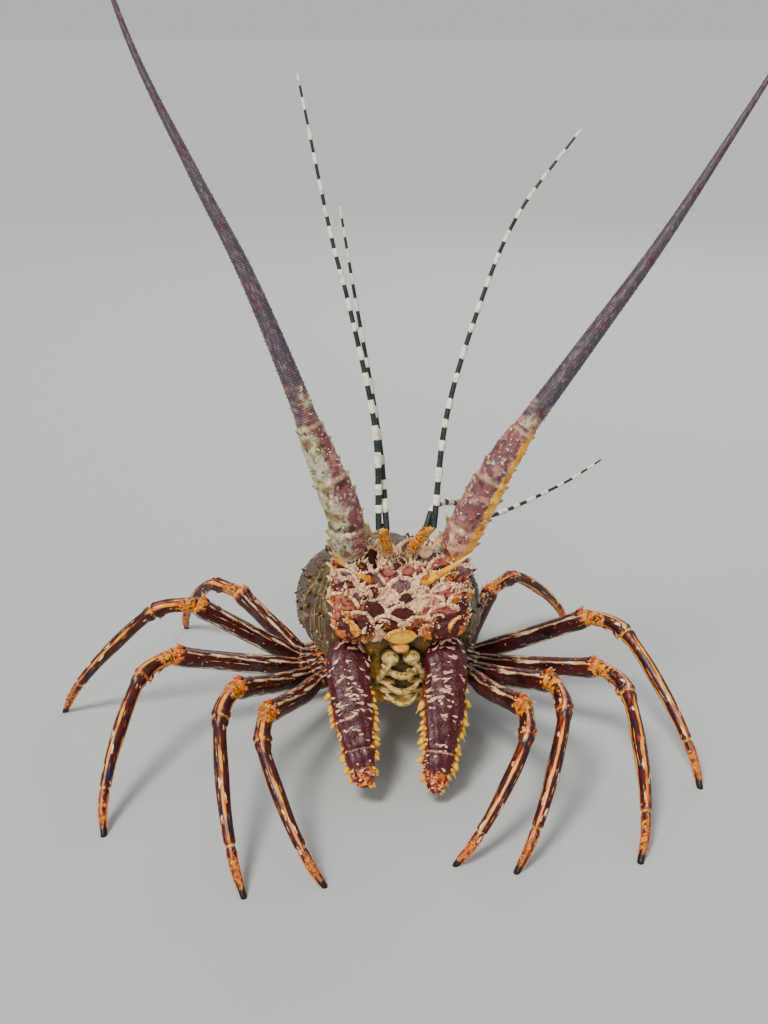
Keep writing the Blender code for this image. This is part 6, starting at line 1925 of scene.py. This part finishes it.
def add_leaf(shell, fringe, root, way, top, length, widths, thickness, hard_share):
    """A leaf of the tail fan, ribbed along its length, thin and fringed towards its end."""
    across = unit(np.cross(way, top))
    rows, columns = 70, 60
    t = np.linspace(0, 1, rows)[:, None]
    half = blend(widths, t)
    turns = (np.arange(columns) + 0.5) * TAU / columns
    u, v = (value[None] for value in superellipse(turns, 0.7))
    hard = between(t, hard_share + 0.05, hard_share - 0.05)
    slab = thickness * (0.28 + 0.45 * hard + 0.12 * (1 - t))
    ribs = 0.13 * np.cos(u * 46) * (1 - hard) + 0.45 * bell(u, 0, 0.07) * hard
    crown = thickness * 0.55 * (1 - 0.5 * u**2) * (1 - 0.5 * t)
    height = crown + slab * v * 0.55 + ribs * (v > 0)
    run = t * length + (1.8 * (1 - u**2) - 1.2) * between(t, 0.8, 1.0)
    points = root + way * run[..., None] + across * (half * u)[..., None] + top * height[..., None]
    shell.grid(points, {"along": run, "side": u * 3 * half.mean(), "top": v, "warm": t})
    place = np.linspace(-0.97, 0.97, FRINGE_BRISTLES)[:, None]
    feet = root + way * (length + 1.8 * (1 - place**2) - 1.4) + across * (half[-1] * place)
    lengths = rng.uniform(1.6, 2.6, FRINGE_BRISTLES)
    lean = way + across * (place * 0.45)
    fringe.tufts(feet + top * (thickness * 0.27), lean, lengths, 0.16, 0.5 + place / 2, 0.97)
    thorns = np.linspace(0.12, hard_share, 6)[:, None]
    for sign in SIDES.values():
        edge = root + way * (thorns * length) + across * (sign * blend(widths, thorns) * 0.96)
        shell.stamp(FINE_THORN, edge + top * (thickness * 0.4), way + across * (sign * 0.7), 1.6, 0.55)


def make_tail_fan(finish):
    """The telson and the four uropods, each with its fringe."""
    _, end, way = ABDOMEN_AXIS[-1]
    across, top = axes_along(way, UP)
    shell, fringe = Shell(), Shell()
    add_leaf(shell, fringe, end - way * 0.6 + top * 2.4, way, top, 45, TELSON_HALF_WIDTH, 3.4, 0.42)
    shell.make("telson_leaf", finish, "tail_fan", "telson")
    fringe.make("telson_fringe", finish, "tail_fan")
    for side, sign in SIDES.items():
        for name, (x, swing, level, half_width) in FAN_LEAVES.items():
            a = math.radians(swing)
            lead = way * math.cos(a) + across * (sign * math.sin(a))
            set_back = TAIL_GAP + half_width * LEAF_WIDTH_ALONG[0][1] * math.sin(a)
            root = end + way * set_back + across * (sign * x) + top * level
            widths = [(t, half_width * k) for t, k in LEAF_WIDTH_ALONG]
            shell, fringe = Shell(), Shell()
            add_leaf(shell, fringe, root, lead, top, 42, widths, 2.0, 0.5)
            shell.make(f"uropod_{name}_leaf_{side}", finish, "tail_fan", f"uropod_{name}_{side}")
            fringe.make(f"uropod_{name}_fringe_{side}", finish, "tail_fan")


# ---------------------------------------------------------------- underside


STERNUM_OUTLINE = [
    (1.2, 0.0),
    (1.3, 0.5),
    (1.2, 0.72),
    (1.0, 0.88),
    (0.7, 0.95),
    (0.4, 1.0),
    (0.15, 0.97),
    (0, 0.95),
]
STERNUM_HALF_WIDTH = [(0, 22), (0.5, 18), (1, 13)]
STERNUM_FLOOR = [(0, -29), (0.25, -36), (0.8, -38), (1, -43)]


def make_sternum(finish):
    """The plate between the legs, stepped and grooved at each pair, with painted shade in the grooves."""
    shell = Shell()
    t = np.linspace(0, 1, 160)[:, None]
    s = -54 + 90 * t
    width, floor = blend(STERNUM_HALF_WIDTH, t), blend(STERNUM_FLOOR, t)
    top = carapace_floor(s) - 0.5
    half = resample(np.array([(x, n, 0) for x, n in STERNUM_OUTLINE]), 40)[:, :2]
    x, n = np.vstack([half, half[::-1][1:] * (-1, 1)]).T[:, None]
    dents = sum(bell(s, hip + 8, 1.2) for hip, _ in HIPS) * between(n, 0.75, 1.0)
    bosses = sum(bell(s, hip, 3.0) for hip, _ in HIPS) * bell(np.abs(x), 0.6, 0.2)
    points = body(s, width * x, top + (floor - top) * n + 1.1 * dents - 0.7 * bosses)
    rim, warm = 0.7 * np.minimum(bosses, 1), 0.5 * between(t, 0.7, 1.0)
    # painted shade: kind darkens the grooves between the leg pairs
    shell.grid(points, {"rim": rim, "kind": 0.5 * dents, "warm": warm})
    shell.make("sternum_plate", finish, "underside", "sternum")


# ---------------------------------------------------------------- stage


FLOOR_REACH = 60.0
FLOOR_COLOUR = (0.43, 0.44, 0.43, 1)
SKY_COLOUR = (0.92, 0.96, 1.0, 1)
SKY_STRENGTH = 0.60
SUN_COLOUR = (1.0, 0.97, 0.92)
SUN_STRENGTH = 3.5
SUN_ANGLE = math.radians(16)
SUN_WAY = (0.42, 0.55, -1.0)
LIT_PLACE = (0, -0.05, 0.1)


def make_floor():
    mesh = bpy.data.meshes.new("floor")
    corners = [(x * FLOOR_REACH, y * FLOOR_REACH, 0) for x, y in ((-1, -1), (1, -1), (1, 1), (-1, 1))]
    mesh.from_pydata(corners, [], [(0, 1, 2, 3)])
    floor = bpy.data.objects.new("floor", mesh)
    bpy.context.scene.collection.objects.link(floor)
    finish = bpy.data.materials.new("floor_finish")
    finish.use_nodes = True
    shader = finish.node_tree.nodes["Principled BSDF"]
    shader.inputs["Base Color"].default_value = FLOOR_COLOUR
    shader.inputs["Roughness"].default_value = 0.85
    mesh.materials.append(finish)


def add_light(data, way, place=(0, 0, 0)):
    """Hangs a light in the scene, shining this way."""
    light = bpy.data.objects.new(data.name, data)
    light.location = place
    light.rotation_euler = Vector(way).to_track_quat("-Z", "Y").to_euler()
    bpy.context.scene.collection.objects.link(light)


def add_panel(name, place, size, power):
    """A square light aimed at the head."""
    data = bpy.data.lights.new(name, "AREA")
    data.size = size
    data.energy = power
    add_light(data, Vector(LIT_PLACE) - Vector(place), place)


def make_lights():
    world = bpy.data.worlds.new("studio")
    world.use_nodes = True
    sky = world.node_tree.nodes["Background"]
    sky.inputs["Color"].default_value = SKY_COLOUR
    sky.inputs["Strength"].default_value = SKY_STRENGTH
    bpy.context.scene.world = world
    sun = bpy.data.lights.new("sun", "SUN")
    sun.energy = SUN_STRENGTH
    sun.angle = SUN_ANGLE
    sun.color = SUN_COLOUR
    add_light(sun, SUN_WAY)
    add_panel("front", (-0.45, -1.2, 0.45), 0.3, 4)
    add_panel("back", (0.5, 1.1, 1.0), 0.6, 6)


def make_camera():
    data = bpy.data.cameras.new("camera")
    data.lens = CAMERA_LENS
    data.sensor_fit = "VERTICAL"
    data.sensor_height = CAMERA_SENSOR
    camera = bpy.data.objects.new("camera", data)
    camera.location = Vector((np.array(CAMERA_PLACE) + SHIFT) * TO_METRES)
    camera.rotation_euler = (math.radians(CAMERA_TILT), 0, math.radians(CAMERA_TURN))
    bpy.context.scene.collection.objects.link(camera)
    bpy.context.scene.camera = camera


# ---------------------------------------------------------------- assembly


def main():
    shell, face, antenna, antennule = shell_finish(), face_finish(), antenna_finish(), antennule_finish()
    maxilliped, upper, lower = maxilliped_finish(), leg_upper_finish(), leg_lower_finish()
    abdomen, fan, under, eye = abdomen_finish(), fan_finish(), underside_finish(), eye_finish()
    make_carapace(shell)
    make_face_plate(face)
    make_mouth(under)
    make_sternum(under)
    for index in range(len(ABDOMEN_SEGMENTS)):
        make_segment(index, abdomen)
    make_tail_fan(fan)
    for side, sign in SIDES.items():
        make_eye(side, sign, eye)
        make_antenna_base(side, sign, face)
        make_antenna_stalk(side, sign, antenna)
        make_antenna_lash(side, sign, antenna)
        make_antennule(side, sign, antennule)
        make_maxilliped(side, sign, maxilliped)
        for index in range(len(HIPS)):
            make_upper_leg(side, sign, index, upper)
            make_lower_leg(side, sign, index, lower)
    make_floor()
    make_lights()
    make_camera()


main()
